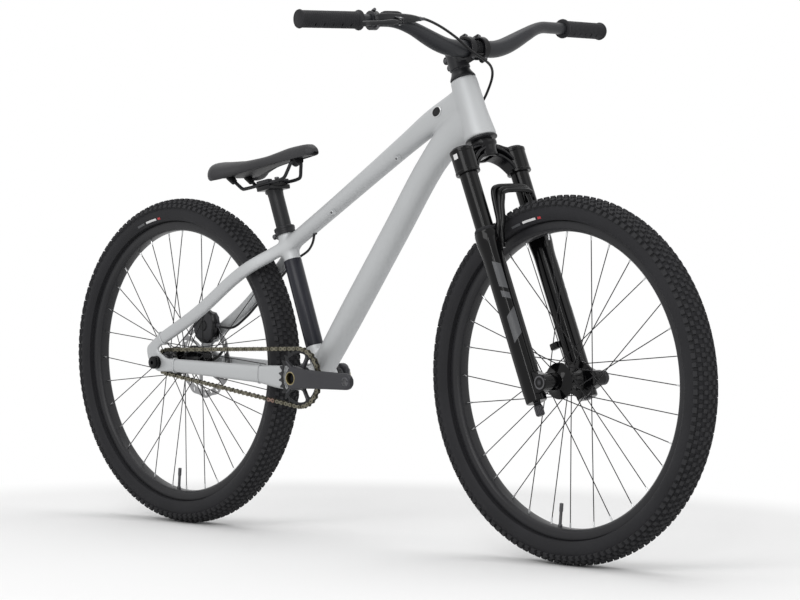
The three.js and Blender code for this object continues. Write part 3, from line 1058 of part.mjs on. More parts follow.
// Saddle: crowned cover with drawn-in skirts over a thin shell
// Along the saddle: place, half width, crown and lower edge
const saddleShares = [
  [-1, 0.52, 0.955, 0.621], [-0.955, 0.84, 1, 0.47], [-0.86, 1, 0.985, 0.394], [-0.7, 0.96, 0.932, 0.386],
  [-0.5, 0.76, 0.879, 0.424], [-0.3, 0.55, 0.841, 0.47], [-0.05, 0.4, 0.833, 0.515], [0.25, 0.33, 0.864, 0.53],
  [0.55, 0.3, 0.902, 0.523], [0.8, 0.27, 0.886, 0.53], [0.94, 0.2, 0.803, 0.538], [1, 0.11, 0.697, 0.576],
];
const coverShares = [
  [0, 1], [0.3, 0.985], [0.56, 0.93], [0.8, 0.78], [0.95, 0.52], [1, 0.26], [0.95, 0.04], [0.84, 0], [0.8, 0.16],
  [0.42, saddle.ceilingShare],
];
function saddleSkin(ring) {
  const full = [...ring, ...ring.slice(1).reverse().map(([out, rise]) => [-out, rise])];
  const places = [];
  const faces = [];
  const count = full.length;
  saddleShares.forEach(([ahead, wide, top, low]) => {
    full.forEach(([out, rise]) => places.push(
      saddle.centreAhead + (ahead * saddle.length) / 2, out * wide * saddle.halfWidth, (low + (top - low) * rise) * saddle.height,
    ));
  });
  const last = saddleShares.length - 1;
  for (let row = 0; row < last; row += 1) {
    for (let k = 0; k < count; k += 1) {
      const [a, b] = [row * count + k, row * count + ((k + 1) % count)];
      faces.push(a, b + count, b, a, a + count, b + count);
    }
  }
  const end = last * count;
  const half = (count - 1) / 2;
  for (let k = 0; k < half; k += 1) {
    const [l, r] = [k, (count - k) % count];
    const [l2, r2] = [k + 1, count - k - 1];
    faces.push(l, l2, r, r, l2, r2, end + l, end + r, end + l2, end + r, end + r2, end + l2);
  }
  const geometry = new THREE.BufferGeometry();
  geometry.setAttribute('position', new THREE.Float32BufferAttribute(places, 3));
  geometry.setIndex(faces);
  return geometry;
}
piece('saddle_cover', saddleSkin(coverShares), charcoal, railGroup);
piece('saddle_base', loft(saddleShares.slice(2, -2).map(([ahead, wide, top, low]) => ({
  at: point(
    saddle.centreAhead + (ahead * saddle.length) / 2, 0,
    (low + (top - low) * saddle.ceilingShare) * saddle.height - fit - saddle.baseThick / 2,
  ),
  wide: wide * saddle.halfWidth * saddle.baseShare,
  tall: saddle.baseThick / 2,
  power: 6,
  along: forwards,
})), 8, across), satinBlack, railGroup);

export default bike;
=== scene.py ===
# Dirt jump bike, dressed over its CAD frame: silver hardtail frame, sprung fork, laced wheels,
# single speed drive, disc brake, riser bar and low saddle. Lengths below are in millimetres.
import json
import random
from math import asin, atan2, copysign, cos, degrees, dist, exp, hypot, pi, radians, sin, sqrt, tau

import bmesh
import bpy
from mathutils import Matrix, Vector


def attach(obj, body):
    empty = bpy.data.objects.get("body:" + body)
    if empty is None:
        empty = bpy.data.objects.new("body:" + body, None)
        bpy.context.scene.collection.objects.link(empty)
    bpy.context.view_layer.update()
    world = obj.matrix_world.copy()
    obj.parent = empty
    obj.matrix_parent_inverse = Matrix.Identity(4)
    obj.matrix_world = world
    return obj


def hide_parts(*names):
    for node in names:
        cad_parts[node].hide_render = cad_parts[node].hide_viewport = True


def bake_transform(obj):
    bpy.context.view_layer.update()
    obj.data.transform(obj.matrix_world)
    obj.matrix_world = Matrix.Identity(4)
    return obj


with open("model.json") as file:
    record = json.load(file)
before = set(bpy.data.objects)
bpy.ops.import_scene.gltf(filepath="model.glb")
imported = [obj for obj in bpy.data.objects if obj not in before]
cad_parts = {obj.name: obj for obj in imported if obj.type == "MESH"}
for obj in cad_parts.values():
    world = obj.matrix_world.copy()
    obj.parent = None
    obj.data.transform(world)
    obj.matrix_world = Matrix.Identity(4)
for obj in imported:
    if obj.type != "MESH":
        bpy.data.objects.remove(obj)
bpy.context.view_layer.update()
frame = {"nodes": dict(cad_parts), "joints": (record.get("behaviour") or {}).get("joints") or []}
random.seed(7)
mm = 0.001
joints = {joint["name"]: joint for joint in frame["joints"]}
print("frame loaded:", len(frame["nodes"]), "nodes")

# Places on the bike, read from the joints of the frame
frontHub = Vector(joints["front_wheel_spin"]["pos_m"]) / mm
rearHub = Vector(joints["rear_wheel_spin"]["pos_m"]) / mm
bracket = Vector(joints["crank_spin"]["pos_m"]) / mm
steeringFoot = Vector(joints["steering_turn"]["pos_m"]) / mm
steeringAxis = Vector(joints["steering_turn"]["axis"])
seatAxis = Vector(joints["seat_height"]["axis"])
across = Vector((0, 1, 0))
forwards = Vector((1, 0, 0))
seatTubeAhead = 12.7
bothSides = (("right", -1), ("left", 1))
atBracket, atFrontHub, atRearHub = (Matrix.Translation(place) for place in (bracket, frontHub, rearHub))


def placedAt(origin, zAxis, xHint=forwards):
    z = zAxis.normalized()
    x = (xHint - z * xHint.dot(z)).normalized()
    y = z.cross(x)
    turn = Matrix((x, y, z)).transposed().to_4x4()
    return Matrix.Translation(origin) @ turn


steering = placedAt(steeringFoot, steeringAxis)
seat = placedAt(bracket + Vector((seatTubeAhead, 0, 0)), seatAxis)


def alongSteering(ahead, out, rise):
    return steering @ Vector((ahead, out, rise))


def alongSeat(ahead, out, rise):
    return seat @ Vector((ahead, out, rise))


def fromBracket(ahead, out, rise):
    return bracket + Vector((ahead, out, rise))


def stationsAt(place, rows):
    # rows of (ahead, out, rise, sizes...) become the stations of a loft
    return [(place(*row[:3]), *row[3:]) for row in rows]


# Camera at the photograph's place
photoView = {
    "target": (0.100, 0.0, 0.469), "distance": 5.624,
    "azimuth": 46.086, "elevation": 2.131, "roll": -0.705, "focal": 133.32,
}


def addCamera():
    azimuth, elevation, roll = (radians(photoView[k]) for k in ("azimuth", "elevation", "roll"))
    back = Vector((sin(azimuth) * cos(elevation), -cos(azimuth) * cos(elevation), sin(elevation)))
    right = Vector((0, 0, 1)).cross(back).normalized()
    up = back.cross(right)
    turn = Matrix((
        right * cos(roll) + up * sin(roll), up * cos(roll) - right * sin(roll), back,
    )).transposed().to_4x4()
    camera = bpy.data.objects.new("photoCamera", bpy.data.cameras.new("photoCamera"))
    camera.data.sensor_width = 36
    camera.data.lens = photoView["focal"]
    camera.data.clip_end = 60
    place = Vector(photoView["target"]) + back * photoView["distance"]
    camera.matrix_world = Matrix.Translation(place) @ turn
    bpy.context.scene.collection.objects.link(camera)
    bpy.context.scene.camera = camera


addCamera()


# Small shape tools: a shape is a list of places and a list of faces
def fuse(*shapes):
    places, faces = [], []
    for shapePlaces, shapeFaces in shapes:
        start = len(places)
        places += shapePlaces
        faces += [tuple(k + start for k in face) for face in shapeFaces]
    return places, faces


def moved(shape, matrix):
    return [matrix @ Vector(place) for place in shape[0]], shape[1]


def skin(rings, loop=False, caps=True, wrap=True):
    count = len(rings[0])
    faces = []
    for row in range(len(rings) if loop else len(rings) - 1):
        low, high = row * count, ((row + 1) % len(rings)) * count
        for k in range(count if wrap else count - 1):
            q = (k + 1) % count
            faces.append((low + k, low + q, high + q, high + k))
    if caps and not loop:
        faces.append(tuple(reversed(range(count))))
        faces.append(tuple(range((len(rings) - 1) * count, len(rings) * count)))
    return [place for ring in rings for place in ring], faces


def turned(profile, steps, axis="Y", share=1.0):
    # profile is a closed list of (radius, height)
    rings = []
    full = share >= 1
    for k in range(steps if full else steps + 1):
        turn = tau * share * k / steps
        c, s = cos(turn), sin(turn)
        if axis == "Y":
            rings.append([Vector((r * c, h, r * s)) for r, h in profile])
        else:
            rings.append([Vector((r * c, r * s, h)) for r, h in profile])
    return skin(rings, loop=full)


def alignedTo(start, end):
    return placedAt(start, end - start, across if abs((end - start).normalized().x) > 0.9 else forwards)


def rod(start, end, radius, sides=16, farRadius=None, edge=0.0):
    start, end = Vector(start), Vector(end)
    length = (end - start).length
    far = radius if farRadius is None else farRadius
    profile = [
        (0, 0), (radius - edge, 0), (radius, edge), (far, length - edge), (far - edge, length), (0, length),
    ]
    if not edge:
        profile = [(0, 0), (radius, 0), (far, length), (0, length)]
    return moved(turned(profile, sides, "Z"), alignedTo(start, end))


def smoothed(points, perSpan=6):
    # a curve through every point, spaced by the root of the distance
    points = [Vector(p) for p in points]
    ends = [points[0] * 2 - points[1]] + points + [points[-1] * 2 - points[-2]]
    result = []
    for k in range(1, len(ends) - 2):
        p0, p1, p2, p3 = ends[k - 1:k + 3]
        t0 = 0
        t1 = t0 + max((p1 - p0).length, 1e-6) ** 0.5
        t2 = t1 + max((p2 - p1).length, 1e-6) ** 0.5
        t3 = t2 + max((p3 - p2).length, 1e-6) ** 0.5
        for step in range(perSpan):
            t = t1 + (t2 - t1) * step / perSpan
            a1 = p0 * ((t1 - t) / (t1 - t0)) + p1 * ((t - t0) / (t1 - t0))
            a2 = p1 * ((t2 - t) / (t2 - t1)) + p2 * ((t - t1) / (t2 - t1))
            a3 = p2 * ((t3 - t) / (t3 - t2)) + p3 * ((t - t2) / (t3 - t2))
            b1 = a1 * ((t2 - t) / (t2 - t0)) + a2 * ((t - t0) / (t2 - t0))
            b2 = a2 * ((t3 - t) / (t3 - t1)) + a3 * ((t - t1) / (t3 - t1))
            result.append(b1 * ((t2 - t) / (t2 - t1)) + b2 * ((t - t1) / (t2 - t1)))
    return result + [points[-1]]


def oval(centre, side, rise, wide, tall, power=2.0, sides=32):
    bend = 2 / power
    ring = []
    for k in range(sides):
        turn = tau * (k + 0.5) / sides
        c, s = cos(turn), sin(turn)
        ring.append(
            centre + side * (wide * copysign(abs(c) ** bend, c)) + rise * (tall * copysign(abs(s) ** bend, s))
        )
    return ring


def loft(stations, hint=across, sides=32, perSpan=1, caps=True):
    # each station is (centre, half width, half height, squareness)
    rows = [(Vector(s[0]), s[1], s[2], s[3] if len(s) > 3 else 2.0) for s in stations]
    if perSpan > 1:
        centres = smoothed([row[0] for row in rows], perSpan)
        sizes = smoothed([Vector(row[1:4]) for row in rows], perSpan)
        rows = [(centre, *size) for centre, size in zip(centres, sizes)]
    rings = []
    for k, (centre, wide, tall, power) in enumerate(rows):
        along = (rows[min(k + 1, len(rows) - 1)][0] - rows[max(k - 1, 0)][0]).normalized()
        side = (hint - along * hint.dot(along)).normalized()
        rings.append(oval(centre, side, along.cross(side), wide, tall, power, sides))
    return skin(rings, caps=caps)


def wire(points, radius, sides=12, perSpan=6, hint=None):
    route = smoothed(points, perSpan) if perSpan > 1 else [Vector(p) for p in points]
    rings = []
    side = None
    for k, centre in enumerate(route):
        along = (route[min(k + 1, len(route) - 1)] - route[max(k - 1, 0)]).normalized()
        if side is None:
            start = hint or (Vector((0, 0, 1)) if abs(along.z) < 0.9 else across)
            side = (start - along * start.dot(along)).normalized()
        side = (side - along * side.dot(along)).normalized()
        size = radius(k / (len(route) - 1)) if callable(radius) else radius
        rings.append(oval(centre, side, along.cross(side), size, size, 2.0, sides))
    return skin(rings)


def block(low, high):
    (x0, y0, z0), (x1, y1, z1) = low, high
    places = [Vector((x, y, z)) for x in (x0, x1) for y in (y0, y1) for z in (z0, z1)]
    return places, [(0, 1, 3, 2), (4, 6, 7, 5), (0, 4, 5, 1), (2, 3, 7, 6), (0, 2, 6, 4), (1, 5, 7, 3)]


def around(radius, turn, out=0.0):
    return Vector((radius * cos(turn), out, radius * sin(turn)))


def turnsOf(count, shift=0.0):
    return [tau * (k + shift) / count for k in range(count)]


def ringOf(count, radius):
    return [(radius * cos(turn), radius * sin(turn)) for turn in turnsOf(count)]


def cutPlate(outline, holes, low, high, edge=0.3):
    # a flat plate in the side view, from y = low to y = high, with eased edges
    curve = bpy.data.curves.new("plate", "CURVE")
    curve.dimensions = "2D"
    curve.fill_mode = "BOTH"
    for loop in [outline] + list(holes):
        spline = curve.splines.new("POLY")
        spline.points.add(len(loop) - 1)
        for point, (x, z) in zip(spline.points, loop):
            point.co = (x, z, 0, 1)
        spline.use_cyclic_u = True
    curve.extrude = (high - low) / 2 - edge
    curve.bevel_depth = edge
    curve.bevel_resolution = 0
    curve.offset = -edge
    holder = bpy.data.objects.new("plate", curve)
    bpy.context.scene.collection.objects.link(holder)
    mesh = bpy.data.meshes.new_from_object(holder.evaluated_get(bpy.context.evaluated_depsgraph_get()))
    middle = (low + high) / 2
    places = [Vector((v.co.x, middle - v.co.z, v.co.y)) for v in mesh.vertices]
    faces = [tuple(p.vertices) for p in mesh.polygons]
    bpy.data.objects.remove(holder)
    bpy.data.curves.remove(curve)
    bpy.data.meshes.remove(mesh)
    return places, faces


def meshOf(name, shape, weld=0.01):
    mesh = bpy.data.meshes.new(name)
    mesh.from_pydata([tuple(Vector(p) * mm) for p in shape[0]], [], shape[1])
    form = bmesh.new()
    form.from_mesh(mesh)
    if weld:
        bmesh.ops.remove_doubles(form, verts=form.verts, dist=weld * mm)
    bmesh.ops.recalc_face_normals(form, faces=form.faces)
    form.to_mesh(mesh)
    form.free()
    return mesh


def softenEdges(mesh, ease=0.0, sharpAngle=35, steps=2):
    form = bmesh.new()
    form.from_mesh(mesh)
    if ease:
        sharp = [e for e in form.edges if e.is_manifold and e.calc_face_angle(0) > radians(sharpAngle)]
        bmesh.ops.bevel(
            form, geom=sharp, offset=ease * mm, segments=steps, profile=0.6, affect="EDGES",
            clamp_overlap=True,
        )
    for face in form.faces:
        face.smooth = True
    for edge in form.edges:
        edge.smooth = not edge.is_manifold or edge.calc_face_angle(0) < radians(sharpAngle)
    form.to_mesh(mesh)
    form.free()


def addPiece(
    name, shape, material, body, replaces=(), ease=0.0, sharpAngle=35, matrix=None, weld=0.01,
):
    if matrix is not None:
        shape = moved(shape, matrix)
    mesh = meshOf(name, shape, weld)
    softenEdges(mesh, ease, sharpAngle)
    mesh.materials.append(material)
    piece = bpy.data.objects.new(name, mesh)
    bpy.context.scene.collection.objects.link(piece)
    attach(piece, body)
    if replaces:
        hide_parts(*replaces)
    return piece


def applied(piece):
    # the piece's modifiers become its mesh
    mesh = bpy.data.meshes.new_from_object(piece.evaluated_get(bpy.context.evaluated_depsgraph_get()))
    piece.modifiers.clear()
    piece.data = mesh
    return piece


def carve(piece, *tools):
    # cut each shape out of a piece in turn
    for tool in tools:
        cutter = bpy.data.objects.new("cutter", meshOf("cutter", tool))
        bpy.context.scene.collection.objects.link(cutter)
        cut = piece.modifiers.new("cut", "BOOLEAN")
        cut.object = cutter
        cut.operation = "DIFFERENCE"
        cut.solver = "EXACT"
        applied(piece)
        bpy.data.objects.remove(cutter)
    return piece


# Finishes
def addNode(tree, kind, sockets=(), **settings):
    node = tree.nodes.new("ShaderNode" + kind)
    for name, value in settings.items():
        setattr(node, name, value)
    for socket, value in dict(sockets).items():
        node.inputs[socket].default_value = value
    return node


def join(tree, *pairs):
    # each pair is (node, its output, node, its input)
    for source, output, target, socket in pairs:
        tree.links.new(source.outputs[output], target.inputs[socket])


def addNoise(tree, place, scale, detail):
    noise = addNode(tree, "TexNoise", {"Scale": scale, "Detail": detail})
    join(tree, (place, "Object", noise, "Vector"))
    return noise


def addRamp(tree, start, end, low=(0, 0, 0), high=(1, 1, 1)):
    ramp = addNode(tree, "ValToRGB")
    for stop, position, colour in zip(ramp.color_ramp.elements, (start, end), (low, high)):
        stop.position = position
        stop.color = (*colour, 1)
    return ramp


def newTree(name):
    material = bpy.data.materials.new(name)
    material.use_nodes = True
    return material, material.node_tree, material.node_tree.nodes["Principled BSDF"]


def finish(name, colour, rough, metal=0.0, grain=None, shift=None, edgeWearAndHighlight=None, sheen=0.0, specular=0.5):
    # grain is (scale, strength, detail) of a fine bump, shift is (scale, amount) of colour
    # and the edge tone is (colour, width): lighter convex edges, real wear on rubber, saddle and black parts,
    # and a painted highlight on the crank arms
    material, tree, shader = newTree(name)
    shader.inputs["Base Color"].default_value = (*colour, 1)
    shader.inputs["Roughness"].default_value = rough
    shader.inputs["Metallic"].default_value = metal
    shader.inputs["Sheen Weight"].default_value = sheen
    shader.inputs["Specular IOR Level"].default_value = specular
    place = addNode(tree, "TexCoord")
    if grain:
        scale, strength, detail = grain
        noise = addNoise(tree, place, scale, detail)
        bump = addNode(tree, "Bump", {"Strength": strength, "Distance": 0.0006})
        spread = addNode(tree, "MapRange", {"To Min": rough * 0.85, "To Max": min(1, rough * 1.18)})
        join(
            tree, (noise, "Fac", bump, "Height"), (bump, "Normal", shader, "Normal"),
            (noise, "Fac", spread, "Value"), (spread, "Result", shader, "Roughness"),
        )
    if shift:
        scale, amount = shift
        clouds = addNoise(tree, place, scale, 3)
        tones = addRamp(
            tree, 0.3, 0.7, [c * (1 - amount) for c in colour], [min(1, c * (1 + amount)) for c in colour],
        )
        join(tree, (clouds, "Fac", tones, "Fac"), (tones, "Color", shader, "Base Color"))
    # lighter convex edges by pointiness: real wear, and on the crank arms a painted highlight
    if edgeWearAndHighlight and shift:
        edgeWearAndHighlightColour, width = edgeWearAndHighlight
        geometry = addNode(tree, "NewGeometry")
        edges = addRamp(tree, 0.5 + width, 0.5 + width * 2)
        mix = addNode(tree, "Mix", {"B": (*edgeWearAndHighlightColour, 1)}, data_type="RGBA")
        join(
            tree, (geometry, "Pointiness", edges, "Fac"), (edges, "Color", mix, "Factor"),
            (tones, "Color", mix, "A"), (mix, "Result", shader, "Base Color"),
        )
    return material


silverPaint = finish(
    "silverPaint", (0.465, 0.475, 0.482), 0.58, metal=0.6, grain=(900, 0.04, 2), shift=(6, 0.02),
)
satinBlack = finish(
    "satinBlack", (0.012, 0.0125, 0.014), 0.36, grain=(1400, 0.06, 2), shift=(20, 0.15),
    edgeWearAndHighlight=((0.06, 0.06, 0.066), 0.06), specular=0.22,
)
bandBlack = finish(
    "bandBlack", (0.012, 0.0125, 0.018), 0.3, grain=(900, 0.03, 2), shift=(8, 0.08), specular=0.25,
)
glossBlack = finish(
    "glossBlack", (0.002, 0.002, 0.0024), 0.1, grain=(300, 0.02, 2), shift=(12, 0.1), specular=0.2,
)
forgedBlack = finish(
    "forgedBlack", (0.004, 0.004, 0.005), 0.2, grain=(1200, 0.05, 3), shift=(16, 0.15), specular=0.22,
)
# the lighter convex edges of this grey are a painted highlight along the crank arms' edges
crankGrey = finish(
    "crankGrey", (0.045, 0.045, 0.05), 0.44, metal=0.55, grain=(1300, 0.1, 3), shift=(14, 0.1),
    edgeWearAndHighlight=((0.12, 0.12, 0.13), 0.08), specular=0.3,
)
barGrey = finish(
    "barGrey", (0.02, 0.021, 0.024), 0.4, metal=0.15, grain=(1500, 0.1, 3), shift=(14, 0.1), specular=0.28,
)
rimBlack = finish(
    "rimBlack", (0.018, 0.018, 0.02), 0.34, grain=(1200, 0.05, 2), shift=(10, 0.08), specular=0.22,
)
spokeBlack = finish(
    "spokeBlack", (0.008, 0.008, 0.009), 0.3, grain=(800, 0.05, 2), shift=(30, 0.1), specular=0.2,
)
tyreRubber = finish(
    "tyreRubber", (0.011, 0.011, 0.012), 0.75, grain=(700, 0.22, 5), shift=(25, 0.18),
    edgeWearAndHighlight=((0.028, 0.028, 0.03), 0.05), specular=0.14,
)
wallRubber = finish(
    "wallRubber", (0.017, 0.017, 0.019), 0.6, grain=(500, 0.12, 4), shift=(14, 0.12), specular=0.16,
)
gripRubber = finish(
    "gripRubber", (0.015, 0.015, 0.017), 0.6, grain=(1400, 0.25, 4), shift=(30, 0.15), specular=0.2,
)
hoseBlack = finish(
    "hoseBlack", (0.007, 0.007, 0.008), 0.32, grain=(900, 0.05, 2), shift=(20, 0.1), specular=0.25,
)
bareSteel = finish("bareSteel", (0.58, 0.585, 0.59), 0.28, metal=1.0, grain=(1600, 0.06, 3), shift=(40, 0.08))
rotorSteel = finish("rotorSteel", (0.3, 0.3, 0.305), 0.3, metal=1.0, grain=(1500, 0.06, 3), shift=(40, 0.1))
darkSteel = finish("darkSteel", (0.1, 0.1, 0.105), 0.33, metal=0.9, grain=(1200, 0.08, 3), shift=(40, 0.15))
padBrass = finish("padBrass", (0.4, 0.3, 0.18), 0.45, metal=0.8, grain=(1500, 0.2, 3), shift=(50, 0.2))
chainGold = finish("chainGold", (0.15, 0.14, 0.105), 0.34, metal=0.85, grain=(900, 0.1, 3), shift=(60, 0.2))
# the inner plates are the chain's gold at about half brightness: painted shade on the recessed plates
chainInnerShaded = finish("chainInnerShaded", (0.08, 0.073, 0.05), 0.36, metal=0.85, grain=(900, 0.1, 3), shift=(60, 0.2))
# the gold darker still: painted shade on the rollers deep between the plates, also used for the brake tab's
# stand-in hole
recessShadeDark = finish("recessShadeDark", (0.035, 0.033, 0.026), 0.42, metal=0.7, grain=(900, 0.1, 3), shift=(60, 0.2))
copperLink = finish("copperLink", (0.2, 0.13, 0.105), 0.36, metal=0.8, grain=(900, 0.1, 3), shift=(60, 0.15))
ringGold = finish("ringGold", (0.32, 0.27, 0.14), 0.34, metal=0.9, grain=(1200, 0.05, 2), shift=(40, 0.1))
# painted shade: the hollow spindle's bore is coloured a near-black gold
paintedBoreShade = finish(
    "paintedBoreShade", (0.012, 0.009, 0.003), 0.45, metal=0.3, grain=(1200, 0.05, 2), shift=(40, 0.1), specular=0.2,
)
saddleSkinBlack = finish(
    "saddleSkinBlack", (0.018, 0.018, 0.02), 0.52, grain=(650, 0.35, 6), shift=(9, 0.14),
    edgeWearAndHighlight=((0.04, 0.04, 0.044), 0.04), sheen=0.05, specular=0.35,
)
shellPlastic = finish(
    "shellPlastic", (0.009, 0.009, 0.01), 0.5, grain=(800, 0.12, 3), shift=(18, 0.12), specular=0.2,
)
printWhite = finish("printWhite", (0.6, 0.6, 0.6), 0.5, grain=(1200, 0.05, 2), shift=(40, 0.06))
printGrey = finish(
    "printGrey", (0.07, 0.072, 0.076), 0.35, grain=(1200, 0.05, 2), shift=(40, 0.08), specular=0.3,
)
printRed = finish("printRed", (0.4, 0.02, 0.025), 0.5, grain=(1200, 0.05, 2), shift=(40, 0.06))
print("finishes ready")

# The silver frame: every tube lofted, then grown into one welded skin
tubes = {
    "headBottom": 486, "headTop": 606, "headRadii": (30.4, 26.4, 25.8, 25.2), "voxel": 1.7, "settle": 26,
    "collarTop": 310, "seatRadius": 17.2, "shellRadius": 22, "shellHalf": 36.5, "sides": 40,
}


def headTubeShape():
    low, high = tubes["headBottom"], tubes["headTop"]
    bottom, waist, middle, top = tubes["headRadii"]
    profile = [
        (0, low), (bottom - 0.8, low), (bottom, low + 1), (bottom, low + 7), (waist + 2.4, low + 22),
        (waist, low + 52), (middle, low + 86), (top, high - 1), (top - 0.8, high), (0, high),
    ]
    return moved(turned(profile, 72, "Z"), steering)


def topTubeShape():
    stations = stationsAt(fromBracket, [
        (-82, 0, 254, 16.2, 16.2), (40, 0, 323.5, 16.8, 16.8), (160, 0, 393, 18.2, 18.2),
        (262, 0, 452, 19.2, 20.5), (330, 0, 490, 20.4, 24),
    ]) + stationsAt(alongSteering, [(-28, 0, 565, 22, 30), (0, 0, 570, 22.5, 30)])
    return loft(stations, sides=tubes["sides"], perSpan=6)


def downTubeShape():
    stations = stationsAt(fromBracket, [
        (0, 0, 0, 24.5, 22.5), (110.9, 0, 140.6, 26, 26), (225, 0, 285, 26, 26), (322, 0, 408, 26, 26.5),
        (380, 0, 463, 25.5, 32),
    ]) + stationsAt(alongSteering, [(-6, 0, 531, 24.6, 36), (4, 0, 532, 24.6, 36)])
    return loft(stations, sides=tubes["sides"], perSpan=6)


def stayShapes(sign):
    lower = stationsAt(fromBracket, [
        (-14, sign * 31, -1, 6, 22.5, 3), (-40, sign * 36.5, -2, 5.6, 25, 3.6),
        (-66, sign * 40.6, -1.4, 5.2, 24, 4), (-118, sign * 45.8, 2.6, 5.6, 18.6, 4),
        (-126, sign * 46.3, 3, 7.8, 18, 3.4), (-240, sign * 56.8, 8, 8.2, 16, 3),
        (-372, sign * 68.6, 13.5, 8, 13.6, 3),
    ])
    upper = stationsAt(fromBracket, [
        (-401, sign * 69.6, 62.5, 7.6, 12.2, 3), (-389, sign * 68.6, 69, 8.2, 13, 3),
        (-290, sign * 60, 122.3, 9, 13.2, 3), (-193, sign * 50, 188.5, 9, 13.2, 3),
        (-150, sign * 43, 214, 9, 13.2, 3), (-106, sign * 22, 239, 9, 13.2, 3),
        (-84, sign * 13, 251, 9, 13.2, 3), (-60, sign * 6, 263, 8, 12, 3),
    ])
    return fuse(loft(lower, sides=28, perSpan=5), loft(upper, sides=28, perSpan=5))


dropout = {
    "inner": 67.8, "thick": 8.4,
    "outline": [
        (35, -18.5), (35, 9), (27, 9.5), (4, 21.5), (-1, 27), (22, 42), (8, 62), (-34, 33), (-36, 24),
        (-33, 8), (-18, -12), (0, -20),
    ],
}


def dropoutShape(sign):
    low = min(sign * dropout["inner"], sign * (dropout["inner"] + dropout["thick"]))
    outline = [(rearHub.x + x, rearHub.z + z) for x, z in dropout["outline"]]
    return cutPlate(outline, [], low, low + dropout["thick"], 1.6)


def frameParts():
    parts = [
        headTubeShape(), topTubeShape(), downTubeShape(),
        rod(alongSeat(0, 0, 0), alongSeat(0, 0, tubes["collarTop"]), tubes["seatRadius"], 48),
        rod(
            fromBracket(0, -tubes["shellHalf"], 0), fromBracket(0, tubes["shellHalf"], 0),
            tubes["shellRadius"], 48,
        ),
    ]
    for sign in (-1, 1):
        parts += [stayShapes(sign), dropoutShape(sign)]
    return parts


def weldedFrame():
    mesh = meshOf("silverFrame", fuse(*frameParts()))
    piece = bpy.data.objects.new("silverFrame", mesh)
    bpy.context.scene.collection.objects.link(piece)
    grown = piece.modifiers.new("grown", "REMESH")
    grown.mode = "VOXEL"
    grown.voxel_size = tubes["voxel"] * mm
    applied(piece)
    form = bmesh.new()
    form.from_mesh(piece.data)
    for _ in range(tubes["settle"]):
        bmesh.ops.smooth_vert(
            form, verts=form.verts, factor=0.5, use_axis_x=True, use_axis_y=True, use_axis_z=True,
        )
    for face in form.faces:
        face.smooth = True
    form.to_mesh(piece.data)
    form.free()
    piece.data.materials.clear()
    piece.data.materials.append(silverPaint)
    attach(piece, "frame")
    names = ["head_tube", "top_tube", "down_tube", "seat_tube", "bottom_bracket_shell"]
    names += [f"{part}_{side}" for part in ("chainstay", "seatstay", "dropout") for side in ("right", "left")]
    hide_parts(*names)
    return piece


silverFrame = weldedFrame()
print("frame skin:", len(silverFrame.data.polygons), "faces")

# Small things on the frame: black band, hose port with its plug, guide bosses, weld seams
band = {"low": 63, "high": 242, "proud": 0.45}
profile = [
    (tubes["seatRadius"] - 1, band["low"]), (tubes["seatRadius"] + 0.1, band["low"]),
    (tubes["seatRadius"] + band["proud"], band["low"] + 0.8),
    (tubes["seatRadius"] + band["proud"], band["high"] - 0.8), (tubes["seatRadius"] + 0.1, band["high"]),
    (tubes["seatRadius"] - 1, band["high"]),
]
addPiece("seatTubeBand", turned(profile, 64, "Z"), bandBlack, "frame", matrix=seat)


def weldSeam(points, width=1.1):
    # a line of small overlapping beads
    route = smoothed(points + points[:1], 14)
    places = []
    reach = 0.0
    for before, after in zip(route, route[1:]):
        reach += (after - before).length
        if reach > 1.9:
            places.append(after)
            reach = 0.0
    return places, width


def seamRing(centre, along, wide, tall, power, name, width=1.1):
    side = (across - along * across.dot(along)).normalized()
    points = oval(centre, side, along.cross(side), wide, tall, power, 16)
    places, size = weldSeam(points, width)
    ringPoints = places + places[:1]
    swell = [size * (1 + 0.25 * cos(2.2 * k)) for k in range(len(ringPoints))]
    rings = []
    for k, place in enumerate(ringPoints[:-1]):
        outward = (place - centre).normalized()
        rings.append(
            [place + outward * (cos(t) * swell[k]) + along * (sin(t) * swell[k] * 1.5) for t in turnsOf(8)]
        )
    return addPiece(name, skin(rings, loop=True), silverPaint, "frame", sharpAngle=80)


for side, sign in bothSides:
    lowerAlong = (fromBracket(-126, sign * 46.3, 3) - fromBracket(-118, sign * 45.8, 2.6)).normalized()
    seamRing(fromBracket(-121, sign * 46, 2.8), lowerAlong, 7.0, 18.2, 3.6, f"plateSeam_{side}", 0.8)
    tailAlong = (fromBracket(-372, sign * 68.6, 13.5) - fromBracket(-240, sign * 56.8, 8)).normalized()
    seamRing(fromBracket(-356, sign * 67.2, 12.9), tailAlong, 8.2, 14.4, 3, f"chainstaySeam_{side}", 1.3)
    upperAlong = (fromBracket(-290, sign * 60, 122.3) - fromBracket(-389, sign * 68.6, 69)).normalized()
    seamRing(fromBracket(-393, sign * 68.9, 67), upperAlong, 8.4, 13.4, 3, f"seatstaySeam_{side}", 1.4)

hosePort = {"right": (226, -21.2, 822), "wide": 10.5, "tall": 7.6}


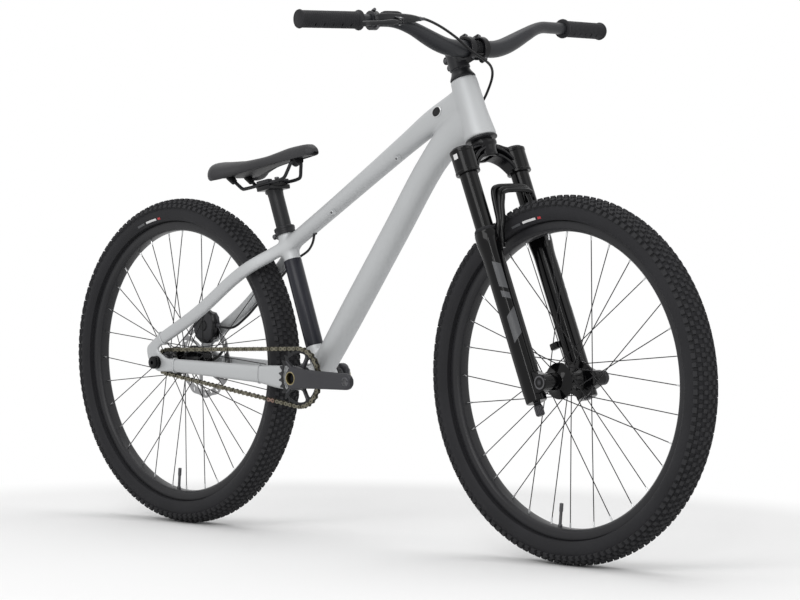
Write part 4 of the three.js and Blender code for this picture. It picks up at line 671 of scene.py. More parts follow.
def portPlug():
    centre = Vector(hosePort["right"])
    along = (fromBracket(330, 0, 490) - fromBracket(160, 0, 393)).normalized()
    outward = -across
    rise = along.cross(across).normalized()
    bezel, plug = [], []
    for depth, grow in ((2.5, 2.0), (-0.6, 2.0), (-1.1, 1.2), (-0.9, 0.2), (1.0, 0)):
        bezel.append(
            oval(
                centre - outward * depth, along, rise,
                hosePort["wide"] + grow, hosePort["tall"] + grow, 2.2, 36,
            )
        )
    for depth, grow in ((2.5, -0.1), (-0.2, -0.1), (-0.7, -1.2)):
        plug.append(
            oval(
                centre - outward * depth, along, rise,
                hosePort["wide"] + grow, hosePort["tall"] + grow, 2.2, 36,
            )
        )
    addPiece("portBezel", skin(bezel), bareSteel, "frame")
    addPiece("portPlug", skin(plug), shellPlastic, "frame")


portPlug()
for k, (x, z) in enumerate(((113, 738), (-70, 637))):
    centre = Vector((x, -9, z))
    shape = fuse(
        rod(centre, centre + Vector((0, -8.5, -1.5)), 4.6, 24, edge=0.7),
        rod(centre + Vector((0, 5, 9)), centre + Vector((0, -3, 0)), 4.4, 18),
    )
    addPiece(f"guideBoss_{k + 1}", shape, silverPaint, "frame")
    addPiece(
        f"guideBolt_{k + 1}", rod(centre + Vector((0, -8.3, -1.4)), centre + Vector((0, -9.3, -1.6)), 2.4, 6),
        darkSteel, "frame",
    )

# Headset: lower ring, upper ring, cone cover and spacer
headset = {"coverRadius": 24.4, "coverTop": 18.4, "spacerRadius": 17.4, "stemLow": 625}
low, high = tubes["headBottom"], tubes["headTop"]
profile = [
    (20, low + 11), (26.9, low + 11), (26.9, low - 0.3), (30.2, low - 0.3), (30.4, low - 1), (30.2, low - 3),
    (29.6, low - 3.5), (20, low - 3.5),
]
addPiece(
    "headsetLowerRing", turned(profile, 72, "Z"), satinBlack, "frame", ["headset_lower_cup"], matrix=steering,
)
profile = [(15, high - 11.7), (21.8, high - 11.7), (21.8, high - 0.2), (15, high - 0.2)]
addPiece(
    "headsetUpperRing", turned(profile, 72, "Z"), satinBlack, "frame", ["headset_upper_cup"], matrix=steering,
)
base = high + 0.3
profile = [
    (15, base), (24.0, base), (headset["coverRadius"], base + 0.6), (24.2, base + 2.4), (21.6, base + 7),
    (19.2, base + 11.6), (headset["coverTop"], base + 14.6), (headset["spacerRadius"], base + 15),
    (17.4, base + 15.5), (17.1, base + 15.8), (17.4, base + 16.1), (17.4, headset["stemLow"] - 0.5),
    (15, headset["stemLow"] - 0.3),
]
addPiece("headsetCone", turned(profile, 72, "Z"), satinBlack, "steering", ["headset_cover"], matrix=steering)

# Seat collar with its bolt
collar = {"low": 294.6, "high": 310.3}
profile = [
    (17.6, collar["low"]), (20.2, collar["low"]), (21, collar["low"] + 1), (21, collar["low"] + 4.6),
    (20.2, collar["low"] + 5.6), (20.2, collar["low"] + 9.6), (21, collar["low"] + 10.6),
    (21, collar["high"] - 1), (20.2, collar["high"]), (15.9, collar["high"]), (15.9, collar["high"] - 1.2),
    (17.6, collar["high"] - 1.4),
]
addPiece("collarRing", turned(profile, 64, "Z"), satinBlack, "frame", ["seat_collar"], matrix=seat)
lugs = fuse(
    block((-30.6, 1.5, collar["low"] + 0.6), (-18.5, 7.8, collar["low"] + 10.6)),
    block((-30.6, -7.8, collar["low"] + 0.6), (-18.5, -1.5, collar["low"] + 10.6)),
)
addPiece("collarLugs", lugs, satinBlack, "frame", ease=1.6, matrix=seat)
bolt = fuse(
    rod((-25.2, -9.8, collar["low"] + 5.6), (-25.2, 9.4, collar["low"] + 5.6), 2.5, 20),
    rod((-25.2, -10.6, collar["low"] + 5.6), (-25.2, -7.6, collar["low"] + 5.6), 4.2, 24, edge=0.6),
)
addPiece("collarBolt", bolt, darkSteel, "frame", matrix=seat)

# Bottom bracket cups, notched for their spanner
cup = {"radius": 21.5, "near": 36.8, "far": 46.8, "notches": 16}
for side, sign in bothSides:
    rings = []
    for reach, grow, notch in (
        (cup["near"], 0, 0), (cup["near"] + 1.4, 0, 0), (cup["near"] + 1.6, -1.0, 1),
        (cup["far"] - 0.8, -1.0, 1), (cup["far"], -1.8, 1),
    ):
        ring = []
        for k in range(96):
            turn = tau * k / 96
            deep = 0.9 * notch if (k * cup["notches"] // 96) * 6 == k - k % 6 and k % 6 in (1, 2) else 0
            radius = cup["radius"] + grow - deep
            ring.append(bracket + around(radius, turn, sign * reach))
        rings.append(ring)
    addPiece(f"bearingCup_{side}", skin(rings), satinBlack, "frame", [f"bottom_bracket_bearing_{side}"])
print("frame fittings ready")

# Wheels: knobbed tyre, box rim, flanged hub and tangent spokes with nipples
tyre = {
    "halfWidth": 29.6, "sectionRadius": 303.5, "sectionHeight": 26.2, "pitches": 128, "steps": 192,
    "beadOut": 13.6, "beadRadius": 286.6,
}
knobRows = [
    # where on the section in degrees from the side, length along, width across, height,
    # and shift along in pitches
    {"lean": 90 - 9, "long": 8.4, "wide": 6.4, "tall": 3.2, "shift": 0.0},
    {"lean": 90 - 25, "long": 7.2, "wide": 6.6, "tall": 3.6, "shift": 0.5},
    {"lean": 90 - 42, "long": 8.0, "wide": 6.8, "tall": 4.2, "shift": 0.05},
    {"lean": 90 - 60, "long": 9.6, "wide": 8.2, "tall": 4.8, "shift": 0.55},
]


def sectionPlace(lean, lift=0.0):
    # a point on the tyre's section: distance across and radius
    angle = radians(lean)
    out = (tyre["halfWidth"] + lift) * cos(angle)
    return out, tyre["sectionRadius"] + (tyre["sectionHeight"] + lift) * sin(angle)


def tyreShape():
    half = [(tyre["beadRadius"], tyre["beadOut"]), (287.8, 17.5)]
    half += [(radius, out) for out, radius in (sectionPlace(lean) for lean in range(-36, 91, 6))]
    inner = [(282.8, 0), (283, tyre["beadOut"] - 0.6)]
    profile = inner + half + [
        (r, -y) for r, y in reversed(half[:-1])
    ] + [(r, -y) for r, y in reversed(inner[1:])]
    return turned(profile, tyre["steps"])


def knobShape(row, turn, sign):
    places = []
    for lift, shrink in ((-0.8, 1.12), (row["tall"], 0.86)):
        for s, t in ((-1, -1), (1, -1), (1, 1), (-1, 1)):
            lean = row["lean"] + t * sign * degrees(row["wide"] / 2 / tyre["halfWidth"]) * shrink
            out, radius = sectionPlace(lean, lift)
            angle = turn + s * row["long"] / 2 * shrink / radius
            places.append(around(radius, angle, sign * out))
    return places, [(3, 2, 1, 0), (4, 5, 6, 7), (0, 1, 5, 4), (1, 2, 6, 5), (2, 3, 7, 6), (3, 0, 4, 7)]


def treadShape():
    parts = []
    step = tau / tyre["pitches"]
    for k in range(tyre["pitches"]):
        for row in knobRows:
            for sign in (-1, 1):
                turn = (k + row["shift"] + (0.5 if sign > 0 else 0)) * step
                varied = dict(row, long=row["long"] * (1.12 if k % 2 else 0.92))
                parts.append(knobShape(varied, turn, sign))
    return fuse(*parts)


rim = {"outer": 286.2, "inner": 267.2, "steps": 192}


def rimShape():
    half = [
        (267.2, 0), (267.2, 8.6), (268.2, 11.4), (272.4, 15.6), (274, 16.3), (285, 16.5), (286.2, 16.1),
        (286.2, 14.2), (284.6, 13.9), (280, 13.9), (280, 0),
    ]
    profile = half + [(r, -y) for r, y in reversed(half[1:-1])]
    return turned(profile, rim["steps"])


spokes = {
    "count": 32, "radius": 0.95, "crossings": 3, "holeIn": 4, "headOut": 1.6, "rimOut": 3, "nippleLong": 11,
    "nippleRadius": 1.9,
}
hubs = {
    "front": {"flangeRadius": 33, "flangeOut": 27}, "rear": {"flangeRadius": 30, "flangeOut": 23.5},
}


def spokeLines(hub):
    # start on the flange, end at the rim; every second one leads
    lines = []
    perFlange = spokes["count"] // 2
    step = tau / perFlange
    for sign in (-1, 1):
        for k in range(perFlange):
            lead = 1 if k % 2 == 0 else -1
            hole = k * step + (step / 2 if sign > 0 else 0)
            seatTurn = hole + lead * spokes["crossings"] * step
            radius = hub["flangeRadius"] - spokes["holeIn"]
            start = around(radius, hole, sign * (hub["flangeOut"] + lead * spokes["headOut"]))
            end = around(rim["inner"], seatTurn, sign * spokes["rimOut"])
            lines.append((start, end, sign, lead))
    return lines


def spokeShapes(hub):
    bodies, nipples = [], []
    for start, end, sign, lead in spokeLines(hub):
        along = (end - start).normalized()
        seat = end - along * spokes["nippleLong"]
        elbow = start + along * 2.2
        head = start - across * (sign * lead * 3.4)
        bodies.append(wire([head, start, elbow, start.lerp(end, 0.4), seat], spokes["radius"], 8, 3))
        bodies.append(rod(head - across * (sign * lead * 0.9), head + across * (sign * lead * 0.4), 1.9, 10))
        nipples.append(
            rod(seat, end + along * 0.6, spokes["nippleRadius"] * 0.82, 10, spokes["nippleRadius"])
        )
    return fuse(*bodies), fuse(*nipples)


def hubProfile(name):
    if name == "front":
        return [
            (8, -54.6), (11.8, -54.6), (12.4, -54), (12.4, -47), (15.6, -46), (15.6, -37), (19, -34),
            (27, -31), (33, -29.6), (33, -25.2), (30, -24.2), (20, -21), (16, -14), (14.6, 0), (16, 14),
            (20, 21), (30, 24.2), (33, 25.2), (33, 29.6), (26, 31.4), (22, 33), (22, 43.6), (19, 44.6),
            (12.4, 46), (12.4, 54), (11.8, 54.6), (8, 54.6),
        ]
    return [
        (6.5, -43.4), (17.6, -43.4), (18, -42.6), (18, -30.6), (24, -28), (30, -25.9), (30, -21.5),
        (27, -20.5), (21, -17.6), (19, -8), (19, 8), (21, 17.6), (27, 20.5), (30, 21.5), (30, 25.9), (24, 28),
        (22.4, 29.6), (22.4, 49.6), (21, 50.8), (6.5, 50.8),
    ]


def bossBolts(low, high, radius, count, size):
    return fuse(*[
        rod(around(radius, t, low), around(radius, t, high), size, 16, edge=0.4)
        for t in turnsOf(count, 0.5)
    ])


printedArcs = {"inner": 292.5, "outer": 300, "lift": 0.35}


def wallPatch(low, high, start, end, material, name, body, matrix, sign=-1, steps=10):
    # a printed patch that lies on the tyre's side wall
    rings = []
    for k in range(steps + 1):
        turn = start + (end - start) * k / steps
        row = []
        for share in (0, 0.5, 1):
            radius = low + (high - low) * share
            lean = degrees(asin(max(-1, min(1, (radius - tyre["sectionRadius"]) / tyre["sectionHeight"]))))
            out, reach = sectionPlace(lean, printedArcs["lift"])
            row.append(around(reach, turn, sign * out))
        rings.append(row)
    return addPiece(name, skin(rings, caps=False, wrap=False), material, body, matrix=matrix)


def buildWheel(name, place):
    body = f"{name}_wheel"
    addPiece(f"{name}TyreWall", tyreShape(), wallRubber, body, [f"{name}_tyre"], matrix=place, sharpAngle=50)
    addPiece(f"{name}Tread", treadShape(), tyreRubber, body, matrix=place, sharpAngle=30)
    addPiece(f"{name}RimBox", rimShape(), rimBlack, body, [f"{name}_rim"], matrix=place, sharpAngle=40)
    bodies, nipples = spokeShapes(hubs[name])
    addPiece(f"{name}Spokes", bodies, spokeBlack, body, [f"{name}_hub_spokes"], matrix=place, sharpAngle=60)
    addPiece(f"{name}Nipples", nipples, bareSteel, body, matrix=place)
    addPiece(
        f"{name}HubShell", turned(hubProfile(name), 64), glossBlack, body, matrix=place,
    )
    # generic printed marks on both walls: a red block and two pale bars
    for sign, where in ((-1, "right"), (1, "left")):
        for k, (start, end, material) in enumerate(
            ((98, 99.6, printRed), (100.6, 107, printWhite), (108.2, 112.5, printGrey))
        ):
            turn = radians(start), radians(end)
            if sign > 0:
                turn = radians(180 - start), radians(180 - end)
            wallPatch(
                printedArcs["inner"] + 1, printedArcs["outer"] - 2.5, *turn, material,
                f"{name}WallMark_{where}_{k + 1}", body, place, sign,
            )


for name, place in (("front", atFrontHub), ("rear", atRearHub)):
    buildWheel(name, place)
    print(name, "wheel ready")

# Valves, and the six bosses of the unused rotor mount on the front hub
for name, place in (("front", atFrontHub), ("rear", atRearHub)):
    turn = radians(-96)
    radial = around(1, turn)
    shape = fuse(
        rod(radial * 267.6, radial * 262.6, 4.2, 20, edge=0.6), rod(radial * 264, radial * 236, 2.9, 18),
        rod(radial * 240, radial * 224, 3.6, 18, edge=0.8),
    )
    addPiece(f"{name}Valve", shape, darkSteel, f"{name}_wheel", matrix=place)
addPiece(
    "frontRotorBosses", bossBolts(42, 45.4, 17.5, 6, 3.4), glossBlack, "front_wheel",
    matrix=atFrontHub,
)

# Brake rotor: waved ring with slots on six swept arms
rotor = {
    "out": 52, "thick": 1.8, "radius": 80, "waveDepth": 3.4, "waves": 12, "ringInner": 64, "hubRadius": 25,
    "arms": 6, "armWide": 7, "slots": 24,
}


def rotorShape():
    outline = []
    for k in range(192):
        turn = tau * k / 192
        reach = rotor["radius"] - rotor["waveDepth"] / 2 * (1 - cos(rotor["waves"] * turn))
        outline.append((reach * cos(turn), reach * sin(turn)))
    holes = [ringOf(40, 10.5)]
    step = tau / rotor["arms"]
    inner, outer = rotor["hubRadius"], rotor["ringInner"]
    for k in range(rotor["arms"]):
        hole = []
        for share in [j / 8 for j in range(9)]:
            radius = inner + (outer - inner) * share
            hole.append((radius, (rotor["armWide"] / 2) / radius + step * 0.35 * share))
        far = [(outer, step * 0.35 + step * j / 8) for j in range(1, 8)]
        back = []
        for share in [1 - j / 8 for j in range(9)]:
            radius = inner + (outer - inner) * share
            back.append((radius, step - (rotor["armWide"] / 2) / radius + step * 0.35 * share))
        near = [(inner, step - step * j / 6) for j in range(1, 6)]
        hole = hole + [
            p for p in far if p[1] > hole[-1][1] and p[1] < back[0][1]
        ] + back + [p for p in near if p[1] > hole[0][1]]
        holes.append([(r * cos(t + k * step), r * sin(t + k * step)) for r, t in hole])
    for k in range(rotor["slots"]):
        turn = tau * k / rotor["slots"]
        radius = 68.6 if k % 2 else 72
        centre = Vector((radius * cos(turn), radius * sin(turn)))
        lie = turn + radians(40)
        hole = []
        for j in range(12):
            t = tau * j / 12
            u, v = 2.8 * copysign(1, cos(t)) + 1.9 * cos(t), 1.9 * sin(t)
            hole.append((centre.x + u * cos(lie) - v * sin(lie), centre.y + u * sin(lie) + v * cos(lie)))
        holes.append(hole)
    return cutPlate(
        outline, holes, rotor["out"] - rotor["thick"] / 2, rotor["out"] + rotor["thick"] / 2, 0.15,
    )


addPiece("rotorDisc", rotorShape(), rotorSteel, "rear_wheel", ["brake_rotor"], matrix=atRearHub)
addPiece("rotorBolts", bossBolts(52.9, 54.9, 21.8, 6, 3.2), darkSteel, "rear_wheel", matrix=atRearHub)
print("rotor ready")

# Rear axle bolts, spacers, driver and cog


def axleShape():
    profile = [
        (0, -89.6), (10.4, -89.6), (12.2, -88.6), (12.9, -86.8), (12.9, -80.4), (11.8, -79.4), (13.3, -78.8),
        (13.3, -76.6), (6, -76.5), (6, -67.6), (9.5, -67.4), (9.5, -60), (6, -59.8), (6, 51.1), (9.5, 51.2),
        (9.5, 67.4), (6, 67.6), (6, 76.5), (13.3, 76.6), (13.3, 78.8), (11.8, 79.4), (12.9, 80.4),
        (12.9, 86.8), (12.2, 88.6), (10.4, 89.6), (0, 89.6),
    ]
    return turned(profile, 48)


axlePiece = addPiece(
    "rearAxleBolt", axleShape(), glossBlack, "frame", ["rear_axle"], matrix=atRearHub,
)
carve(
    axlePiece,
    moved(fuse(rod((0, -92, 0), (0, -81, 0), 4.4, 6), rod((0, 92, 0), (0, 81, 0), 4.4, 6)), atRearHub),
)
softenEdges(axlePiece.data)

# Drive: chainring, cog, chain of separate links, cranks and spindle
drive = {
    "pitch": 12.7, "out": 49.5, "ringTeeth": 28, "cogTeeth": 12, "rollerRadius": 3.5, "plateTall": 4.2,
    "plateWaist": 2.3,
    "innerPlate": 2.1, "plateThick": 0.95, "outerPlate": 3.15, "pinReach": 4.4, "seat": 3.8,
}


def pitchRadius(teeth):
    return drive["pitch"] / (2 * sin(pi / teeth))


def toothRim(teeth, phase, perTooth=12):
    # roller seats joined by short rounded teeth
    radius = pitchRadius(teeth)
    step = tau / teeth
    outline = []
    for k in range(teeth):
        for j in range(perTooth):
            share = j / perTooth
            away = min(share, 1 - share) * step * radius
            if away < drive["seat"] * 0.98:
                depth = sqrt(max(0, drive["seat"] ** 2 - away ** 2))
                reach = radius - depth
            else:
                reach = radius + min(3.4, 0.6 + 1.6 * (away - drive["seat"] * 0.98))
            turn = phase + (k + share) * step
            outline.append((reach * cos(turn), reach * sin(turn)))
    return outline


def chainRun():
    # pins on the ring, along both straight runs and on the cog
    ahead, drop = bracket.x - rearHub.x, rearHub.z - bracket.z
    lineUp = atan2(drop, -ahead)
    ringStep, cogStep = tau / drive["ringTeeth"], tau / drive["cogTeeth"]
    ringRadius, cogRadius = pitchRadius(drive["ringTeeth"]), pitchRadius(drive["cogTeeth"])
    wrap = asin((ringRadius - cogRadius) / hypot(ahead, drop))
    top = lineUp - pi / 2 + wrap
    bottom = lineUp + pi / 2 - wrap - tau
    cogPhase = pi / 2
    ringPins = [
        (bracket.x + ringRadius * cos(k * ringStep), bracket.z + ringRadius * sin(k * ringStep))
        for k in range(round(bottom / ringStep), round(top / ringStep) + 1)
    ]
    cogPins = [
        (
            rearHub.x + cogRadius * cos(cogPhase + k * cogStep),
            rearHub.z + cogRadius * sin(cogPhase + k * cogStep),
        )
        for k in range(round((top - cogPhase) / cogStep), round((bottom + tau - cogPhase) / cogStep) + 1)
    ]

    def straight(a, b):
        links = round(dist(a, b) / drive["pitch"])
        return [(a[0] + (b[0] - a[0]) * k / links, a[1] + (b[1] - a[1]) * k / links) for k in range(1, links)]

    return ringPins + straight(ringPins[-1], cogPins[0]) + cogPins + straight(cogPins[-1], ringPins[0])


def linkPlate(a, b, near, far):
    # a waisted side plate around two pins
    a, b = Vector((a[0], 0, a[1])), Vector((b[0], 0, b[1]))
    along = (b - a).normalized()
    rise = along.cross(across)
    outline = []
    for centre, start in ((b, -90), (a, 90)):
        for k in range(9):
            turn = radians(start + 22.5 * k)
            outline.append(
                centre + along * (drive["plateTall"] * cos(turn)) + rise * (drive["plateTall"] * sin(turn))
            )
        middle = (a + b) / 2
        outline.append(middle + rise * (drive["plateWaist"] * (1 if start < 0 else -1)))
    return skin([[p + across * near for p in outline], [p + across * far for p in outline]])


def chainShapes():
    pins = chainRun()
    outer, inner, rollers, special = [], [], [], []
    for k, pin in enumerate(pins):
        after = pins[(k + 1) % len(pins)]
        isOuter = k % 2 == 0
        plate = drive["outerPlate"] if isOuter else drive["innerPlate"]
        bag = special if k == len(pins) - 6 else (outer if isOuter else inner)
        for sign in (-1, 1):
            near, far = sorted(
                (sign * plate - drive["out"], sign * (plate + drive["plateThick"]) - drive["out"])
            )
            bag.append(linkPlate(pin, after, near, far))
        rollers.append(
            rod(
                (pin[0], -drive["out"] - 2, pin[1]), (pin[0], -drive["out"] + 2, pin[1]),
                drive["rollerRadius"], 12,
            )
        )
        rollers.append(
            rod(
                (pin[0], -drive["out"] - drive["pinReach"], pin[1]),
                (pin[0], -drive["out"] + drive["pinReach"], pin[1]), 1.7, 10,
            )
        )
    return outer, inner, rollers, special


outerLinks, innerLinks, rollerShapes, quickLink = chainShapes()
addPiece("chainOuterLinks", fuse(*outerLinks), chainGold, "frame", ["chain"])
# the inner plates and the rollers carry painted shade in their darker finishes
addPiece("chainInnerLinks", fuse(*innerLinks), chainInnerShaded, "frame")
addPiece("chainRollers", fuse(*rollerShapes), recessShadeDark, "frame")
addPiece("chainQuickLink", fuse(*quickLink), copperLink, "frame")

ring = {
    "armTurns": (-60, 60, 140, 220, 300), "armHalf": 5.2, "inner": 24, "outer": 48, "corner": 4.5,
    "bore": 15.6, "thick": 2.0,
}


def ringWindow(start, end):
    # a rounded opening between two arms of the ring
    first, last = radians(start), radians(end)
    corner = ring["corner"]
    points = []
    for radius, inwards in ((ring["outer"], -1), (ring["inner"], 1)):
        sides = [
            (radius + inwards * corner, 0), (radius + inwards * corner * 0.3, corner * 0.3), (radius, corner),
        ]
        near = [(r, first + (ring["armHalf"] + ease) / r) for r, ease in sides]
        far = [(r, last - (ring["armHalf"] + ease) / r) for r, ease in reversed(sides)]
        arc = [(radius, near[-1][1] + (far[0][1] - near[-1][1]) * k / 12) for k in range(1, 12)]
        row = near + arc + far
        points += row if inwards < 0 else reversed(row)
    return [(r * cos(t), r * sin(t)) for r, t in points]


ringPlate = cutPlate(
    toothRim(drive["ringTeeth"], 0),
    [ringOf(40, ring["bore"])] + [ringWindow(a, b) for a, b in zip(ring["armTurns"], ring["armTurns"][1:])],
    -drive["out"] - ring["thick"] / 2, -drive["out"] + ring["thick"] / 2, 0.25,
)
addPiece("chainringPlate", ringPlate, satinBlack, "crankset", ["chainring"], matrix=atBracket)
ribs = []
for turn in [radians(armTurn) for armTurn in ring["armTurns"][1:]]:
    radial = around(1, turn)
    ribs.append(rod(radial * 19 + across * -50.4, radial * 48 + across * -50.4, 3.4, 16, 1.6))
addPiece(
    "chainringRibs",
    fuse(*ribs, turned([(15.8, -52.6), (21, -52.6), (22.5, -51), (22.5, -50), (15.8, -50)], 48)), satinBlack,
    "crankset", matrix=atBracket,
)

cogPlate = fuse(
    cutPlate(
        toothRim(drive["cogTeeth"], pi / 2), [ringOf(24, 6.8)], -drive["out"] - 1, -drive["out"] + 1, 0.25,
    ),
    turned(
        [
            (6.8, -59.4), (13, -59.4), (14.2, -58.6), (15, -57), (15, -50.4), (16.5, -50), (16.5, -48.8),
            (15, -48.4), (15, -44), (14, -43.8), (6.8, -43.8),
        ],
        40,
    ),
)
addPiece("cogWithDriver", cogPlate, darkSteel, "cog", ["rear_cog"], matrix=atRearHub)

crank = {"length": 165, "rootOut": 75, "endOut": 84, "hole": 6.9}


def crankShape(sign):
    ahead = -sign
    stations = []
    for share, half, thick, power in (
        (-0.1, 11.5, 6.5, 2.4), (-0.075, 18.5, 9.2, 2.8), (-0.035, 22.4, 10.5, 3.2), (0, 23.4, 10.75, 3.6),
        (0.07, 22, 10.4, 3.6), (0.2, 18.9, 8.4, 3.6), (0.42, 17.6, 6.6, 3.8), (0.66, 16.8, 6.0, 4.0),
        (0.86, 16.2, 5.9, 4.0), (1.0, 15.8, 5.9, 3.8), (1.055, 13.4, 5.6, 3.2), (1.092, 8.2, 4.6, 2.6),
    ):
        out = crank["rootOut"] + (crank["endOut"] - crank["rootOut"]) * max(0, min(1, share)) - 0.1
        stations.append(
            (Vector((ahead * share * crank["length"], sign * (out - thick), 0)), thick, half, power)
        )
    return loft(stations, sides=40, perSpan=4)


def addCrank(side, sign):
    ahead = -sign
    arm = addPiece(
        f"crankArm_{side}", crankShape(sign), crankGrey, "crankset", [f"crank_arm_{side}"], matrix=atBracket,
        sharpAngle=50,
    )
    end = ahead * crank["length"]
    holes = [
        rod((end, sign * 60, 0), (end, sign * 90, 0), crank["hole"], 36),
        rod((end, sign * 83.2, 0), (end, sign * 91, 0), 9.6, 36),
        rod((0, sign * 40, 0), (0, sign * 90, 0), 12.4, 48),
        rod((0, sign * 74.2, 0), (0, sign * 91, 0), 15, 48),
    ]
    carve(arm, *[moved(hole, atBracket) for hole in holes])
    softenEdges(arm.data, sharpAngle=50)
    thread = turned(
        [
            (crank["hole"] - 0.1, 72.6), (crank["hole"] + 0.5, 72.6), (crank["hole"] + 0.5, 83.3),
            (crank["hole"] - 0.1, 83.3),
        ],
        36,
    )
    if sign < 0:
        thread = moved(thread, Matrix.Scale(-1, 4, across))
    addPiece(
        f"pedalThread_{side}", moved(thread, Matrix.Translation((end, 0, 0))), darkSteel, "crankset",
        matrix=atBracket,
    )
    collarProfile = [(12.3, 47.1), (15.3, 47.1), (15.3, 53.8), (12.3, 53.8)]
    spacer = turned([(r, sign * y) for r, y in collarProfile], 48)
    addPiece(f"crankSpacer_{side}", spacer, satinBlack, "crankset", matrix=atBracket)
    lip = turned(
        [
            (11.2, sign * 70), (12.9, sign * 70), (12.9, sign * 74.6), (12.6, sign * 75), (11.5, sign * 75),
            (11.2, sign * 74.6),
        ],
        48,
    )
    addPiece(
        f"spindleRim_{side}", lip, ringGold, "crankset", ["crank_spindle"] if sign < 0 else [],
        matrix=atBracket,
    )


for side, sign in bothSides:
    addCrank(side, sign)
# the spindle's inner wall, coloured near black: painted shade inside the bore
tubeShape = turned([(9.5, -72), (12, -72), (12, 72), (9.5, 72)], 40)
addPiece("spindleTube", tubeShape, paintedBoreShade, "crankset", matrix=atBracket)
plugs = fuse(
    turned([(0, -66), (9.6, -66), (9.6, -63.5), (0, -63.5)], 32),
    turned([(0, 63.5), (9.6, 63.5), (9.6, 66), (0, 66)], 32),
)
addPiece("spindlePlugs", plugs, shellPlastic, "crankset", matrix=atBracket)
print("drive ready")

# Fork: forged crown with its steerer, stanchions, wipers and sliding lowers
fork = {
    "legOut": 67, "legAhead": 6, "offset": 37, "sleeveLow": 414, "sleeveHigh": 461, "stanchion": 17,
    "stanchionFoot": 120,
    "lowersTop": 300, "lowersFoot": 27,
}


def steererShape():
    profile = [
        (0, 462), (15.4, 462), (15.8, 447.4), (16.4, 446), (20.5, 446), (22.4, 447.2), (23, 450), (22.2, 453),
        (22.2, 464), (23.6, 468), (25.6, 470.6), (26, 472), (26, 475.4), (25.4, 476), (19.4, 476),
        (19.4, 500), (14.3, 560), (14.3, 664), (0, 664),
    ]
    return turned(profile, 64, "Z")


def crownArm(sign):
    # a thin web with a rail along its top, an arched rail below and a rib that falls across its front
    rows = {
        "web": [(-2, 10, 459, 9, 13), (-1, 34, 452, 8, 12), (1, 52, 443, 8, 14), (5, 67, 438, 9, 17)],
        "top": [
            (-3, 6, 469, 17, 4.6), (-2, 26, 467.4, 15.5, 4.4), (0, 44, 462, 14, 4.4), (4, 56, 456, 14, 5),
            (6, 67, 452, 14, 6),
        ],
        "arch": [
            (-1, 8, 450.5, 17, 4.6), (0, 24, 447, 16, 4.4), (2, 38, 438, 15, 4.4), (4, 47, 427, 14.5, 4.6),
            (6, 52, 416, 13, 4.2),
        ],
        "front": [
            (12, 14, 463, 6.5, 3.4), (13.5, 30, 456, 6, 3.2), (14, 44, 445, 6, 3.2), (13, 56, 431, 6, 3.4),
            (10, 62, 423, 6, 4),
        ],
        "back": [(-14, 14, 463, 5, 3.2), (-13, 34, 454, 5, 3), (-10, 52, 438, 5, 3.2), (-6, 62, 426, 5, 3.6)],
    }
    return fuse(
        *[
            loft(
                [(Vector((x, sign * y, z)), wide, tall, 3.2) for x, y, z, wide, tall in row], forwards, 24, 6,
            )
            for row in rows.values()
        ]
    )


def atLeg(sign):
    return Matrix.Translation((fork["legAhead"], sign * fork["legOut"], 0))


def sleeveShape(sign):
    low, high = fork["sleeveLow"], fork["sleeveHigh"]
    inner = fork["stanchion"] + 0.3
    profile = [
        (inner, low), (22, low), (23, low + 1), (23, low + 5), (22.2, low + 6), (22.2, high - 7),
        (23, high - 6), (23, high - 1.2), (22, high), (inner + 1.5, high), (inner, high - 1),
    ]
    return moved(turned(profile, 64, "Z"), atLeg(sign))


addPiece(
    "forkCrown", fuse(steererShape(), crownArm(-1), crownArm(1)), forgedBlack, "steering",
    ["fork_crown_steerer"],
    matrix=steering, sharpAngle=40,
)
for side, sign in bothSides:
    at = atLeg(sign)
    addPiece(f"crownSleeve_{side}", sleeveShape(sign), glossBlack, "steering", matrix=steering)
    tube = [
        (0, fork["stanchionFoot"]), (15.4, fork["stanchionFoot"]), (17, fork["stanchionFoot"] + 2),
        (17, 461.2), (0, 461.2),
    ]
    addPiece(
        f"stanchionTube_{side}", moved(turned(tube, 64, "Z"), at), glossBlack, "steering",
        [f"stanchion_{side}"], matrix=steering,
    )
    cap = [
        (0, 461.3), (17.8, 461.3), (18.5, 462), (18.5, 463.4), (16.2, 465), (12, 465.4), (11, 466.5),
        (0, 466.5),
    ]
    addPiece(
        f"legCap_{side}", moved(turned(cap, 48, "Z"), at), satinBlack, "steering",
        matrix=steering,
    )
    lip = [
        (17.3, 300.3), (20.6, 300.3), (20.9, 301.2), (20.2, 302.4), (20.6, 303.4), (19, 305.8), (18.2, 307),
        (17.3, 306.4),
    ]
    addPiece(
        f"legWiper_{side}", moved(turned(lip, 64, "Z"), at), gripRubber, "fork_lower_legs",
        [f"fork_wiper_{side}"], matrix=steering,
    )
airMark = cutPlate([(-4.5, -5), (4.5, -5), (4.5, 5), (-4.5, 5)], [], -0.25, 0.25, 0.05)
airPlace = Matrix.Translation((fork["legAhead"] + 2, -fork["legOut"] - 22.1, 447))
addPiece(
    "crownMark", moved(airMark, airPlace @ Matrix.Rotation(0.12, 4, "Z")), printWhite, "steering",
    matrix=steering,
)


def lowerLeg(sign):
    foot, top = -fork["lowersFoot"], fork["lowersTop"]
    profile = [
        (0, foot), (17.6, foot), (19.2, foot + 1.4), (19.5, foot + 3.4), (19.5, foot + 12), (20, foot + 18),
        (20, top - 54), (20.4, top - 44), (22.2, top - 26), (22.5, top - 20), (22.5, top - 5),
        (21.6, top - 3), (21.6, top), (17.4, top), (17.4, 2), (0, 0),
    ]
    return moved(turned(profile, 64, "Z"), atLeg(sign))


